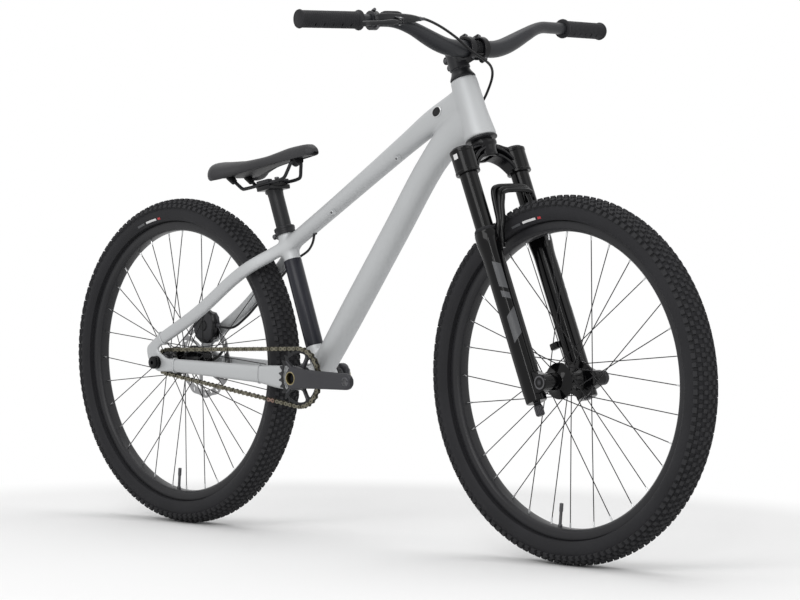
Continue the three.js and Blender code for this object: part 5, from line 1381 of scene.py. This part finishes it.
def axleLug(sign):
    inner, outer = sorted((sign * 55, sign * 80))
    outline = []
    for k in range(13):
        turn = radians(-90 + 15 * k)
        outline.append((fork["offset"] + 15 * cos(turn), 15 * sin(turn)))
    outline += [
        (fork["legAhead"] + 17.8, 27), (fork["legAhead"] + 17.8, -1), (fork["legAhead"] - 2, -3),
        (fork["legAhead"] - 2, -20), (fork["legAhead"] + 14, -17),
    ]
    return cutPlate(outline, [], inner, outer, 2.2)


def archShapes():
    # two rails with a thinner wall between them: one runs outside and behind, the other inside and in front
    rails = []
    for side, back, lift, radius in ((2.5, -10, 6, 5.0), (-4, 3.4, -7, 4.4)):
        half = [
            (57 + side * 0.3, 24 + back * 0.4, 262), (57 + side * 0.8, 28 + back * 0.4, 286),
            (52 + side, 36 + back * 0.4, 310), (47.5 + side, 39.5 + back * 0.8, 338),
            (44 + side, 42 + back, 358 + lift), (40 + side, 43 + back, 367.5 + lift),
            (30 + side, 43.3 + back, 371 + lift), (12, 43.5 + back, 372 + lift),
        ]
        route = [Vector((ahead, -out, rise)) for out, ahead, rise in half] + [
            Vector((ahead, out, rise)) for out, ahead, rise in reversed(half)
        ]
        rails.append(wire(route, radius, 16, 5))
    web = [
        (55, 27, 270, 5), (51, 31, 308, 7.4), (43.5, 36.5, 352, 7.6), (36, 38.4, 368, 6.4),
        (12, 39, 371.5, 5.6),
    ]
    route = [
        (Vector((ahead, sign * out, rise)), wide, 4.2, 3) for sign, rows in ((-1, web), (1, web[::-1]))
        for out, ahead, rise, wide in rows
    ]
    rails.append(loft(route, forwards, 16, 4))
    return fuse(*rails)


lowersShape = fuse(lowerLeg(-1), lowerLeg(1), axleLug(-1), axleLug(1), archShapes())
addPiece(
    "forkLowers", lowersShape, glossBlack, "fork_lower_legs", ["fork_lowers"], matrix=steering, sharpAngle=40,
)
tabs = fuse(block((-29, 47, 77.5), (-10, 58, 90.5)), block((-22, 50, 20), (-10, 58.5, 33)))
addPiece("brakeTabs", tabs, glossBlack, "fork_lower_legs", ease=2.4, matrix=steering)
# a dark rod through the tab is painted shade standing in for its bolt hole; no hole is cut
addPiece(
    "brakeTabHoleShade", rod((-24, 46.8, 84), (-24, 62.2, 84), 2.6, 20), recessShadeDark, "fork_lower_legs",
    matrix=steering,
)
knob = fuse(
    turned(
        [
            (0, -52.3), (6.2, -52.3), (7.2, -51.4), (7.5, -49), (7.5, -34), (6.6, -32.6), (6.6, -27.4),
            (0, -27.4),
        ],
        16, "Z",
    ),
    *[
        rod((7.3 * cos(t), 7.3 * sin(t), -50.6), (7.3 * cos(t), 7.3 * sin(t), -35), 0.9, 8)
        for t in turnsOf(16)
    ],
)
addPiece(
    "reboundKnob", moved(knob, atLeg(-1)), satinBlack, "fork_lower_legs", ["rebound_knob"], matrix=steering,
)
footBolt = turned([(0, -30), (7, -30), (7.6, -29.2), (7.6, -27.3), (0, -27.3)], 6, "Z")
addPiece("footBolt", moved(footBolt, atLeg(1)), darkSteel, "fork_lower_legs", matrix=steering)
atForkEnd = Matrix.Translation((fork["offset"], 0, 0))
axleProfile = [
    (0, -80.6), (5.4, -80.6), (5.4, -79.4), (7.5, -79.4), (7.5, 80.3), (12.6, 80.3), (13.5, 81.2), (13.5, 90),
    (12.4, 91.3), (4, 91.3), (4, 86), (0, 86),
]
addPiece(
    "throughAxle", moved(turned(axleProfile, 40), atForkEnd), satinBlack, "fork_lower_legs", ["front_axle"],
    matrix=steering,
)
lugRing = turned([(9.5, -80.3), (12.4, -80.3), (12.4, -80), (9.5, -80)], 48)
addPiece(
    "lugRing", moved(lugRing, atForkEnd), darkSteel, "fork_lower_legs",
    matrix=steering,
)


def legPrint(sign, low, high, start, end, material, name, slant=0.0):
    # a printed patch on the leg's outer face, generic bars only
    rings = []
    for k in range(9):
        row = []
        for share in [j / 6 for j in range(7)]:
            turn = radians(start + (end - start) * k / 8)
            rise = low + (high - low) * share + slant * (k / 8 - 0.5)
            radius = 20.25 if rise < fork["lowersTop"] - 54 else 20.65
            row.append(
                Vector((
                    fork["legAhead"] + radius * cos(turn),
                    sign * (fork["legOut"] + radius * sin(turn)), rise,
                ))
            )
        rings.append(row)
    return addPiece(
        name, skin(rings, caps=False, wrap=False), material, "fork_lower_legs",
        matrix=steering,
    )


for side, sign in bothSides:
    for k, (low, high, start, end, slant) in enumerate(
        ((188, 236, 20, 62, 8), (168, 180, 20, 62, 8), (92, 142, 18, 70, -16))
    ):
        legPrint(sign, low, high, start, end, printGrey, f"legPrint_{side}_{k + 1}", slant)
print("fork ready")

# Cockpit: handlebar, stem with its split clamp, grips, brake lever
bar = {
    "clampRadius": 15.9, "gripRadius": 11.1, "half": 395, "clampHalf": 34, "bendEnd": 150, "rise": 44.3,
    "ahead": 13.5, "sweep": 35.6, "endRise": 13.3,
    "taperStart": 88, "taperEnd": 190, "runStart": 45, "runEnd": 208,
}
stem = {"reach": 45, "middle": 645, "clampRise": 2.2}
clampAt = Vector((stem["reach"], 0, stem["middle"] + stem["clampRise"]))


def eased(share):
    share = max(0.0, min(1.0, share))
    return share * share * (3 - 2 * share)


def barCentre(out):
    reach = abs(out)
    lift = eased((reach - bar["clampHalf"]) / (bar["bendEnd"] - bar["clampHalf"]))
    beyond = max(0, reach - bar["bendEnd"]) / (bar["half"] - bar["bendEnd"])
    return Vector(
        (
            clampAt.x + bar["ahead"] * lift - bar["sweep"] * beyond, out,
            clampAt.z + bar["rise"] * lift + bar["endRise"] * beyond,
        )
    )


def barRun(out):
    # the tube itself climbs a little later than the straight line of its grips
    place = barCentre(out)
    early = eased((abs(out) - bar["clampHalf"]) / (bar["bendEnd"] - bar["clampHalf"]))
    late = eased((abs(out) - bar["runStart"]) / (bar["runEnd"] - bar["runStart"]))
    return place - Vector((bar["ahead"], 0, bar["rise"])) * (early - late)


def barShape():
    tip = bar["half"] - 4.3
    rings = []
    for k in range(161):
        out = -tip + 2 * tip * k / 160
        share = eased((abs(out) - bar["taperStart"]) / (bar["taperEnd"] - bar["taperStart"]))
        radius = bar["clampRadius"] + (bar["gripRadius"] - bar["clampRadius"]) * share
        along = (barRun(out + 1) - barRun(out - 1)).normalized()
        side = (forwards - along * forwards.dot(along)).normalized()
        rings.append(oval(barRun(out), side, along.cross(side), radius, radius, 2, 40))
    return skin(rings)


addPiece("riserBar", barShape(), barGrey, "steering", ["handlebar"], matrix=steering)


def barEnd(sign):
    origin = barCentre(sign * bar["bendEnd"])
    outward = (barCentre(sign * bar["half"]) - origin).normalized()
    y = outward * sign
    x = (forwards - y * forwards.dot(y)).normalized()
    return steering @ Matrix.Translation(origin) @ Matrix((x, y, x.cross(y))).transposed().to_4x4()


endLength = (barCentre(bar["half"]) - barCentre(bar["bendEnd"])).length
grip = {"length": 132, "ribs": 26}


def gripShape(sign):
    near = endLength - grip["length"]
    profile = [
        (11.4, near), (16.6, near), (18.2, near + 0.8), (18.6, near + 2.4), (18.2, near + 4.2),
        (16.4, near + 5.4), (15.4, near + 7.4),
    ]
    first, last = near + 9, endLength - 7
    for k in range(grip["ribs"]):
        start = first + (last - first) * k / grip["ribs"]
        wide = (last - first) / grip["ribs"]
        profile += [
            (15.0, start), (15.0, start + wide * 0.3), (15.6, start + wide * 0.42),
            (15.6, start + wide * 0.88),
        ]
    profile += [
        (15.4, last + 1), (16.8, endLength - 4.6), (17.2, endLength - 3), (16.4, endLength - 0.9),
        (14.4, endLength), (13.2, endLength - 0.5), (12.6, endLength - 0.2), (0, endLength - 0.2),
        (0, endLength - 4), (11.4, endLength - 4),
    ]
    return turned([(r, sign * y) for r, y in profile], 48)


def addGrip(side, sign):
    piece = addPiece(
        f"gripSleeve_{side}", gripShape(sign), gripRubber, "steering", [f"grip_{side}"], matrix=barEnd(sign),
        sharpAngle=50,
    )
    slots = []
    for k in range(5):
        y = sign * (endLength - grip["length"] + 26 + k * 19)
        slots.append(block((3.5, y - 1.1, -17.5), (13.5, y + 1.1, -11.6)))
        slots.append(block((-13.5, y - 1.1, -17.5), (-3.5, y + 1.1, -11.6)))
    carve(piece, moved(fuse(*slots), barEnd(sign)))  # the slots lie apart, so one cut does
    softenEdges(piece.data, sharpAngle=50)


for side, sign in bothSides:
    addGrip(side, sign)


def arcPoints(radius, start, end, steps, shift=0.0):
    return [
        (
            clampAt.x + shift + radius * cos(radians(start + (end - start) * k / steps)),
            clampAt.z + radius * sin(radians(start + (end - start) * k / steps)),
        )
        for k in range(steps + 1)
    ]


def stemShapes():
    column = [
        (14.7, 625), (18.6, 625), (19.6, 626), (19.6, 664), (18.6, 665), (14.7, 665),
    ]
    arm = [
        (Vector((2, 0, 645)), 16.6, 15.6, 4.5), (Vector((14, 0, 645.6)), 15, 14.4, 4.5),
        (Vector((26, 0, 646.4)), 17, 14.8, 4.5), (Vector((34, 0, 647)), 23.3, 17.4, 5),
    ]
    back = arcPoints(20.5, 90, 270, 24, -1) + arcPoints(16.2, 270, 90, 24, -1)
    jaws = fuse(cutPlate(back, [], -23.5, -9, 0.8), cutPlate(back, [], 9, 23.5, 0.8))
    return fuse(turned(column, 56, "Z"), loft(arm, sides=32, perSpan=4), jaws)


addPiece("stemBody", stemShapes(), satinBlack, "steering", ["stem"], matrix=steering, sharpAngle=38)
pinch = fuse(*[
    rod((ahead, sign * 1.2, rise), (ahead, sign * 11.5, rise), radius, 32, edge=1.2) for sign in (-1, 1)
    for ahead, rise, radius in ((-18.5, 651, 7.6), (-15.5, 635, 6.4))
])
addPiece("stemPinch", pinch, satinBlack, "steering", matrix=steering)
pinchBolts = fuse(
    *[
        rod((ahead, -13, rise), (ahead, 12.4, rise), 3.6, 24, edge=0.5)
        for ahead, rise in ((-18.5, 651), (-15.5, 635))
    ]
)
addPiece("stemPinchBolts", pinchBolts, darkSteel, "steering", matrix=steering)


def facePlate():
    front = arcPoints(22.6, -100, 112, 28, 1) + arcPoints(16.2, 112, -100, 28, 1)
    parts = [cutPlate(front, [], low, high, 1.3) for low, high in ((-24.2, -11), (11, 24.2))]
    for start, end in ((-80, -48), (48, 80)):
        edge = arcPoints(20.0, start, end, 8, 1) + arcPoints(16.2, end, start, 8, 1)
        parts.append(cutPlate(edge, [], -11.5, 11.5, 0.6))
    for k in range(5):
        y = -6 + 3 * k
        rib = arcPoints(17.2, -48, 48, 12, 1) + arcPoints(16.0, 48, -48, 12, 1)
        parts.append(cutPlate(rib, [], y - 0.55, y + 0.55, 0.1))
    for y in (-17, 17):
        for rise in (-21, 21):
            centre = clampAt + Vector((3.5, y, rise))
            parts.append(rod(centre + Vector((-8, 0, 0)), centre + Vector((4.6, 0, 0)), 6.2, 24, edge=1))
    return fuse(*parts)


addPiece("stemFace", facePlate(), forgedBlack, "steering", ["stem_faceplate"], matrix=steering)
faceBolts = fuse(*[
    rod(clampAt + Vector((6.5, y, rise)), clampAt + Vector((10.4, y, rise)), 3.6, 20, edge=0.5)
    for y in (-17, 17) for rise in (-21, 21)
])
addPiece("stemFaceBolts", faceBolts, darkSteel, "steering", matrix=steering)
capProfile = [
    (0, 665.3), (16.6, 665.3), (17, 666), (17, 667.6), (15.4, 669), (6.5, 669), (5.5, 667.8), (3.4, 667.8),
    (3.4, 666.6), (0, 666.6),
]
addPiece(
    "steererTopCap", turned(capProfile, 48, "Z"), satinBlack, "steering", ["steerer_cap"], matrix=steering,
)
print("cockpit ready")

# Brake lever: hinged clamp, cylinder, reservoir and the two finger blade
lever = {
    "clampOut": 238, "pivotOut": 204, "pivotAhead": 34, "pivotDrop": 17, "tipOut": 292, "tipAhead": 42,
    "tipDrop": 27,
}
leverFrame = barEnd(-1)


def leverPlace(ahead, out, rise):
    return Vector((ahead, -(out - bar["bendEnd"]), rise))


def masterShapes():
    clampY = -(lever["clampOut"] - bar["bendEnd"])
    band = moved(
        turned([(11.5, -7), (16.8, -7), (17.5, -6.2), (17.5, 6.2), (16.8, 7), (11.5, 7)], 48),
        Matrix.Translation((0, clampY, 0)),
    )
    cylinder = stationsAt(leverPlace, [
        (17, 246, -5, 5.4, 6.4, 3), (19, 240, -5, 7.6, 8.2, 3), (22, 224, -5, 8.4, 9.2, 3),
        (22, 196, -5, 8.2, 8.4, 2.6), (21.6, 172, -5, 7.2, 7.4, 2.2), (21.2, 160, -5, 6.0, 6.0, 2),
        (20.9, 153, -5, 4.6, 4.6, 2),
    ])
    reservoir = stationsAt(leverPlace, [
        (20, 232, 3.4, 4.4, 2.4, 4), (20.5, 226, 3.8, 7.4, 3.4, 4), (20.5, 200, 3.6, 7.4, 3.6, 4),
        (20.5, 190, 3, 5, 2.4, 4),
    ])
    strut = [(leverPlace(12, 238, -4), 6.6, 6.6, 3), (leverPlace(20, 237, -5), 6.6, 7.2, 3)]
    return fuse(
        band, loft(cylinder, forwards, 28, 5), loft(reservoir, forwards, 24, 4), loft(strut, across, 20),
    )


addPiece("masterBody", masterShapes(), satinBlack, "steering", ["brake_master"], matrix=leverFrame)
clampBolts = fuse(*[
    rod(leverPlace(x, 238, z), leverPlace(x, 238, z) + Vector((-9, 0, 0)), 3, 20, edge=0.5)
    for x, z in ((15, 15.5), (15, -17))
])
addPiece("masterClampBolts", clampBolts, darkSteel, "steering", matrix=leverFrame)
lidScrews = fuse(
    *[rod(leverPlace(20.5, out, 6.6), leverPlace(20.5, out, 7.9), 2.0, 16) for out in (222, 198)]
)
addPiece("masterLidScrews", lidScrews, bareSteel, "steering", matrix=leverFrame)
pivotAt = leverPlace(lever["pivotAhead"], lever["pivotOut"], -lever["pivotDrop"])
tipAt = leverPlace(lever["tipAhead"], lever["tipOut"], -lever["tipDrop"])
bladeAhead = Vector((lever["tipAhead"], 0, -lever["tipDrop"])).normalized()
hinge = across.cross(bladeAhead).normalized()
ears = []
for sign in (1, -1):
    offset = hinge * (sign * 4.8)
    ears.append(
        loft(
            [
                (leverPlace(22, 204, -5) + offset, 1.4, 8.6, 4),
                (leverPlace(29, 204, -12) + offset, 1.4, 7.4, 4),
                (pivotAt + offset + bladeAhead * 5.6, 1.4, 5.6, 3),
            ],
            hinge, 20, 4,
        )
    )
addPiece("masterEars", fuse(*ears), satinBlack, "steering", matrix=leverFrame)
addPiece(
    "leverPin", rod(pivotAt - hinge * 7.2, pivotAt + hinge * 7.2, 2.5, 20, edge=0.5), bareSteel, "steering",
    matrix=leverFrame,
)


def bladeShape():
    rows = []
    for share, bow, tall, thick in (
        (-0.05, 0, 5.2, 2.7), (0.04, 0.6, 5.6, 2.9), (0.14, 2.6, 5.6, 4.0), (0.26, 3.6, 5.0, 5.4),
        (0.38, 3.2, 4.4, 5.0), (0.5, 2.2, 4.0, 4.3), (0.7, 0.2, 3.8, 4.1), (0.84, -0.8, 3.8, 4.4),
        (0.93, 0.4, 4.2, 4.8), (1.0, 2.0, 4.4, 5.0), (1.035, 2.4, 3.0, 3.4),
    ):
        rows.append((pivotAt.lerp(tipAt, share) + bladeAhead * bow, thick, tall, 2.6))
    return loft(rows, hinge, 28, 5)


addPiece("leverBlade", bladeShape(), satinBlack, "lever", ["brake_lever"], matrix=leverFrame)
gap = leverPlace(20.9, 151.7, -5)

# Brake hoses, each one whole run between its two fittings
headTop, seatTop = 606, 310


def fromHeadTop(back, out, below):
    return alongSteering(-back, out, headTop - below)


def fromSeatTop(ahead, out, below):
    return alongSeat(ahead, out, seatTop - below)


frontRoute = [steering.inverted() @ (leverFrame @ gap)]
frontRoute.append(frontRoute[0] + Vector((2, 12, -1)))
frontRoute = [
    steering @ place for place in frontRoute
] + [fromHeadTop(-ahead, out, -rise) for ahead, out, rise in (
    (74, -100, 70), (72, -64, 49), (66, -28, 26), (60, 4, 13), (50, 28, 4), (34, 43, -6), (12, 49, -21),
    (-15.8, 47, -40), (-36.3, 41, -42.5), (-51.1, 31.5, -41.9), (-60.6, 24.6, -41.3), (-69, 18.6, -40.7),
)]


def caliperPlace(along, out, rise):
    turn = radians(80)
    return Vector((
        rearHub.x + (72 + rise) * cos(turn) + along * sin(turn), out,
        rearHub.z + (72 + rise) * sin(turn) - along * cos(turn),
    ))


rearRoute = [
    fromSeatTop(80.4, 0.6, 38.6), fromSeatTop(73.9, 2.2, 44.7),
] + [rearHub + Vector(place) for place in (
    (388, 6, 248), (375, 13, 238), (353, 22.5, 226.5), (329, 26, 216.5), (306, 25.5, 206.5),
    (285, 33.5, 193.5), (262, 42, 181.5), (220, 50, 156.5), (171, 55, 122.5), (122.5, 59.5, 89.5),
    (92, 51, 68.5),
)] + [caliperPlace(50, 46, 6.5), caliperPlace(30.3, 46, 6.5)]


def routeLength(points):
    return sum((b - a).length for a, b in zip(points, points[1:]))


def addHose(name, route, body, node):
    path = smoothed(route, 8)
    piece = addPiece(name, wire(path, 2.5, 14, 1), hoseBlack, body)
    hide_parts(node)
    return piece, path


def declareHose(piece, path):
    print(piece.name, "length", round(routeLength(path)), "mm")


rearHose, rearPath = addHose("rearBrakeHose", rearRoute, "frame", "brake_hose_rear")
declareHose(rearHose, rearPath)
frontPath = smoothed(frontRoute, 8)
frontHose = bpy.data.objects.new("frontBrakeHose", meshOf("frontBrakeHose", wire(frontPath, 2.5, 14, 1)))
bpy.context.scene.collection.objects.link(frontHose)
softenEdges(frontHose.data)
frontHose.data.materials.append(hoseBlack)
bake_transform(frontHose)
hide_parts("brake_hose_front")
declareHose(frontHose, frontPath)
hoseNut = fuse(
    rod(gap + Vector((0, -1.5, 0)), gap + Vector((0, 5, 0)), 4.2, 6),
    rod(gap + Vector((0, 4, 0)), gap + Vector((0.3, 13, 0)), 3.4, 20, 2.8, 0.0),
)
addPiece("hoseNut", hoseNut, satinBlack, "steering", matrix=leverFrame)
for name, at, toward in (
    ("frontPortRing", frontRoute[-2], frontRoute[-1]), ("rearPortRing", rearRoute[0], rearRoute[1]),
):
    along = (toward - at).normalized()
    centre = at.lerp(toward, 0.0 if name == "frontPortRing" else 0.25)
    ringShape = turned([(2.8, -1.6), (4.6, -1.6), (5.2, -0.6), (5.2, 0.8), (4.4, 1.6), (2.8, 1.6)], 32, "Z")
    addPiece(name, ringShape, gripRubber, "frame", matrix=placedAt(centre, along))
print("brake hoses ready")

# Caliper and pads over the rotor's top edge
caliperShares = [
    (-1, -0.5), (-0.8, -0.85), (-0.5, -1), (0.5, -1), (0.85, -0.8), (1, -0.45), (1, 0.3), (0.85, 0.75),
    (0.55, 1), (-0.4, 1), (-0.85, 0.75), (-1, 0.45),
]


def caliperOutline(shares, grow=0.0):
    return [((p := caliperPlace(a * (30 + grow), 0, r * (30 + grow))).x, p.z) for a, r in shares]


caliperBody = addPiece(
    "caliperBody", cutPlate(caliperOutline(caliperShares, -0.4), [], 37.2, 58.8, 2.4), satinBlack, "frame",
    ["brake_caliper"],
)
carve(
    caliperBody,
    cutPlate([(rearHub.x + x, rearHub.z + z) for x, z in ringOf(64, 81.2)], [], 49.9, 54.1, 0.05),
)
padShares = [(-0.42, -0.3), (0.42, -0.3), (0.42, 0.26), (-0.42, 0.26)]
carve(caliperBody, cutPlate(caliperOutline(padShares, 0.8), [], 47.1, 56.9, 0.05))
softenEdges(caliperBody.data)
coverShares = [
    (-1.05, -0.3), (-0.7, -1), (-0.1, -1.25), (0.7, -1.1), (1.12, -0.6), (1.16, 0.25), (0.8, 0.95),
    (0.2, 1.16), (-0.5, 1.08), (-1, 0.6),
]
coverPlate = cutPlate(caliperOutline(coverShares), [], 37.6, 49.4, 2.6)
addPiece("caliperCover", coverPlate, forgedBlack, "frame")
domes = fuse(*[
    rod(caliperPlace(0, y, 0), caliperPlace(0, far, 0), 12.5, 36, 10.5)
    for y, far in ((38.5, 35.4), (57.5, 59.6))
])
addPiece("caliperDomes", domes, forgedBlack, "frame")
caliperBolts = fuse(*[
    rod(caliperPlace(a, 57.5, r), caliperPlace(a, 60.6, r), 4, 20, edge=0.5)
    for a, r in ((-22, 12), (22, 10), (0, -24))
])
addPiece("caliperBolts", caliperBolts, bareSteel, "frame")
fitting = fuse(
    rod(caliperPlace(29, 46, 6.5), caliperPlace(37, 46, 6.5), 4.4, 6),
    rod(caliperPlace(37, 46, 6.5), caliperPlace(45, 46, 6.5), 3.3, 20, 2.8),
)
addPiece("caliperFitting", fitting, satinBlack, "frame")
for name, low, high in (("inner", 47.5, 50.5), ("outer", 53.5, 56.5)):
    back = (low, low + 1.4) if name == "inner" else (high - 1.4, high)
    face = (low + 1.4, high) if name == "inner" else (low, high - 1.4)
    outline = caliperOutline(padShares)
    addPiece(
        f"padPlate_{name}", cutPlate(outline, [], *back, 0.2), bareSteel, f"pad_{name}",
        [f"brake_pad_{name}"],
    )
    addPiece(
        f"padFace_{name}", cutPlate(caliperOutline(padShares, -1.5), [], *face, 0.2), padBrass, f"pad_{name}",
    )
print("brake ready")

# Seatpost with its cradle, rails and saddle
railFrame = placedAt(alongSeat(0, 0, 403), Vector((-sin(radians(9.5)), 0, cos(radians(9.5)))))
postRows = stationsAt(alongSeat, [
    (0, 0, 150, 15.4, 15.4, 2), (0, 0, 372, 15.45, 15.45, 2), (0, 0, 382, 16.4, 14.6, 2.2),
    (0, 0, 391, 19, 14, 2.6), (0, 0, 397, 22, 13.4, 3),
])
addPiece("seatpostTube", loft(postRows, sides=48, perSpan=4), satinBlack, "seat", ["seatpost"], sharpAngle=45)
cradle = fuse(block((-20, -27.6, -13.5), (20, 27.6, -3.9)), block((-20, -19, -6), (20, 19, -0.4)))
addPiece("postCradle", cradle, forgedBlack, "seat", ease=2.6, matrix=railFrame)
yoke = [
    block((-17.6, sign * 22 - 6.2, 0.4), (17.6, sign * 22 + 6.2, 7.4)) for sign in (-1, 1)
] + [block((-8, -20, 1.2), (8, 20, 6.6))]
addPiece("railClamp", fuse(*yoke), satinBlack, "seat", ["saddle_clamp"], ease=2.0, matrix=railFrame)
clampScrews = fuse(
    rod((-13.5, 0, -19), (-13.5, 0, 9.5), 3, 20), rod((-13.5, 0, 7), (-13.5, 0, 11), 4.8, 24, edge=0.8),
    rod((13.5, 0, -19), (13.5, 0, 9.5), 3, 20),
    rod((13.5, 0, 7), (13.5, 0, 11), 4.8, 24, edge=0.8),
    rod((-13.5, -8, -15.5), (-13.5, 8, -15.5), 4.6, 24, edge=0.8),
)
addPiece("clampScrews", clampScrews, darkSteel, "seat", matrix=railFrame)
railHalf = [
    (-96, 23, 27.5), (-78, 22.5, 11), (-66, 22, 1), (-56, 22, 0), (0, 22, 0), (50, 22, 0), (59, 21, 2.5),
    (68, 17, 16), (75, 13, 28), (78, 7, 31.5),
]
railRoute = [Vector((x, -y, z)) for x, y, z in railHalf] + [
    Vector((x, y, z)) for x, y, z in reversed(railHalf)
]
addPiece(
    "saddleRailWire", wire(railRoute, 3.5, 20, 8), satinBlack, "seat", ["saddle_rails"], matrix=railFrame,
)

saddle = {"centre": 1, "length": 270, "half": 67}
saddleRows = [
    # ahead, width, top, underside
    (-1, 0.52, 63, 41), (-0.955, 0.84, 66, 31), (-0.86, 1, 65, 26), (-0.7, 0.96, 61.5, 25.5),
    (-0.5, 0.76, 58, 28), (-0.3, 0.55, 55.5, 31), (-0.05, 0.4, 55, 34), (0.25, 0.33, 57, 35),
    (0.55, 0.3, 59.5, 34.5), (0.8, 0.27, 58.5, 35), (0.94, 0.2, 53, 35.5), (1, 0.11, 46, 38),
]
coverArc = [
    (0, 0.985), (0.12, 0.99), (0.3, 0.985), (0.46, 0.96), (0.6, 0.915), (0.74, 0.83), (0.86, 0.7),
    (0.94, 0.54), (0.985, 0.38), (1, 0.24), (0.985, 0.1), (0.95, 0.03), (0.9, 0), (0.84, 0.03), (0.81, 0.14),
    (0.66, 0.26), (0.42, 0.31), (0.2, 0.32),
]


def saddleCover():
    rows = smoothed([Vector((a, w, t)) for a, w, t, _ in saddleRows], 5)
    lows = smoothed([Vector((a, low, 0)) for a, _, _, low in saddleRows], 5)
    ring = coverArc + [(-x, z) for x, z in reversed(coverArc[1:])]
    rings = []
    for row, low in zip(rows, lows):
        dip = 2.2 * exp(-((row.x + 0.25) / 0.45) ** 2)
        line = []
        for x, z in ring:
            # a shallow channel down the middle, as most such saddles have
            sink = dip * exp(-((x * row.y * saddle["half"]) / 9) ** 2) if z > 0.8 else 0
            line.append(
                Vector(
                    (
                        saddle["centre"] + row.x * saddle["length"] / 2, x * row.y * saddle["half"],
                        low.y + (row.z - low.y) * z - sink,
                    )
                )
            )
        rings.append(line)
    return skin(rings)


cover = addPiece(
    "saddleSkin", saddleCover(), saddleSkinBlack, "seat", ["saddle_cover"], matrix=railFrame, sharpAngle=70,
)
shellRows = [
    (
        Vector((saddle["centre"] + a * saddle["length"] / 2, 0, low + (top - low) * 0.3 - 3.6)),
        w * saddle["half"] * 0.78, 3.0, 3.4,
    )
    for a, w, top, low in saddleRows[1:-1]
]
addPiece(
    "saddleShell", loft(shellRows, sides=28, perSpan=4), shellPlastic, "seat", ["saddle_base"],
    matrix=railFrame,
)
sockets = [
    rod((-88, sign * 22.8, 19), (-100, sign * 23.4, 32), 6.4, 20, 8) for sign in (-1, 1)
] + [rod((70, 0, 30), (84, 0, 35), 10, 24, 12)]
addPiece("railSockets", fuse(*sockets), shellPlastic, "seat", matrix=railFrame)
print("seat ready")

# Stage: white paper that fades into the backdrop, plain studio light
studio = {
    "floorTone": 0.86, "fadeStart": 0.75, "fadeEnd": 1.0, "halfLong": 1.55, "halfWide": 1.15, "keyPower": 84,
    "fillPower": 26, "topPower": 70, "stripPower": 24, "worldLight": 0.62,
}


def addFloor():
    mesh = bpy.data.meshes.new("studioFloor")
    size = 40
    corners = [(-size, -size, 0), (size, -size, 0), (size, size, 0), (-size, size, 0)]
    mesh.from_pydata(corners, [], [(0, 1, 2, 3)])
    floor = bpy.data.objects.new("studioFloor", mesh)
    bpy.context.scene.collection.objects.link(floor)
    paper, tree, shader = newTree("paper")
    tone = studio["floorTone"]
    shader.inputs["Base Color"].default_value = (tone, tone, tone, 1)
    shader.inputs["Roughness"].default_value = 0.9
    shader.inputs["Specular IOR Level"].default_value = 0
    glow = addNode(tree, "Emission")
    blend = addNode(tree, "MixShader")
    place = addNode(tree, "TexCoord")
    scaled = addNode(tree, "Mapping", {"Scale": (1 / studio["halfLong"], 1 / studio["halfWide"], 0)})
    reach = addNode(tree, "VectorMath", operation="LENGTH")
    limits = {"From Min": studio["fadeStart"], "From Max": studio["fadeEnd"]}
    fade = addNode(tree, "MapRange", limits, interpolation_type="SMOOTHSTEP")
    join(
        tree, (place, "Object", scaled, "Vector"), (scaled, "Vector", reach, 0),
        (reach, "Value", fade, "Value"),
        (fade, "Result", blend, "Fac"), (shader, "BSDF", blend, 1), (glow, "Emission", blend, 2),
        (blend, "Shader", tree.nodes["Material Output"], "Surface"),
    )
    mesh.materials.append(paper)


def addLamp(name, place, aim, size, power):
    lamp = bpy.data.lights.new(name, "AREA")
    lamp.shape = "RECTANGLE"
    lamp.size, lamp.size_y = size
    lamp.energy = power
    holder = bpy.data.objects.new(name, lamp)
    bpy.context.scene.collection.objects.link(holder)
    holder.matrix_world = Matrix.Translation(place) @ (
        Vector(place) - Vector(aim)
    ).to_track_quat("Z", "Y").to_matrix().to_4x4()


def addLight():
    addLamp("keyLamp", (1.2, -4.2, 3.4), (0, 0, 0.5), (3.4, 2.2), studio["keyPower"])
    addLamp("stripLamp", (3.2, -3.4, 1.7), (0.2, 0, 0.5), (0.3, 2.8), studio["stripPower"])
    addLamp("fillLamp", (4.6, 1.6, 2.4), (0.2, 0, 0.5), (3.2, 3.4), studio["fillPower"])
    addLamp("topLamp", (-0.6, 0.6, 4.6), (0, 0, 0.4), (4.0, 3.0), studio["topPower"])
    world = bpy.data.worlds.new("studio")
    bpy.context.scene.world = world
    world.use_nodes = True
    tree = world.node_tree
    background = tree.nodes["Background"]
    background.inputs["Color"].default_value = (1, 1, 1, 1)
    path = addNode(tree, "LightPath")
    seen = addNode(tree, "Math", operation="MAXIMUM")
    mirrored = addNode(tree, "Math", operation="MAXIMUM")
    strength = addNode(tree, "MapRange", {"To Min": studio["worldLight"]})
    join(
        tree, (path, "Is Glossy Ray", mirrored, 0), (path, "Is Transmission Ray", mirrored, 1),
        (path, "Is Camera Ray", seen, 0), (mirrored, 0, seen, 1), (seen, 0, strength, "Value"),
        (strength, "Result", background, "Strength"),
    )


addFloor()
addLight()
bpy.context.scene.view_settings.view_transform = "Standard"
print("scene ready")
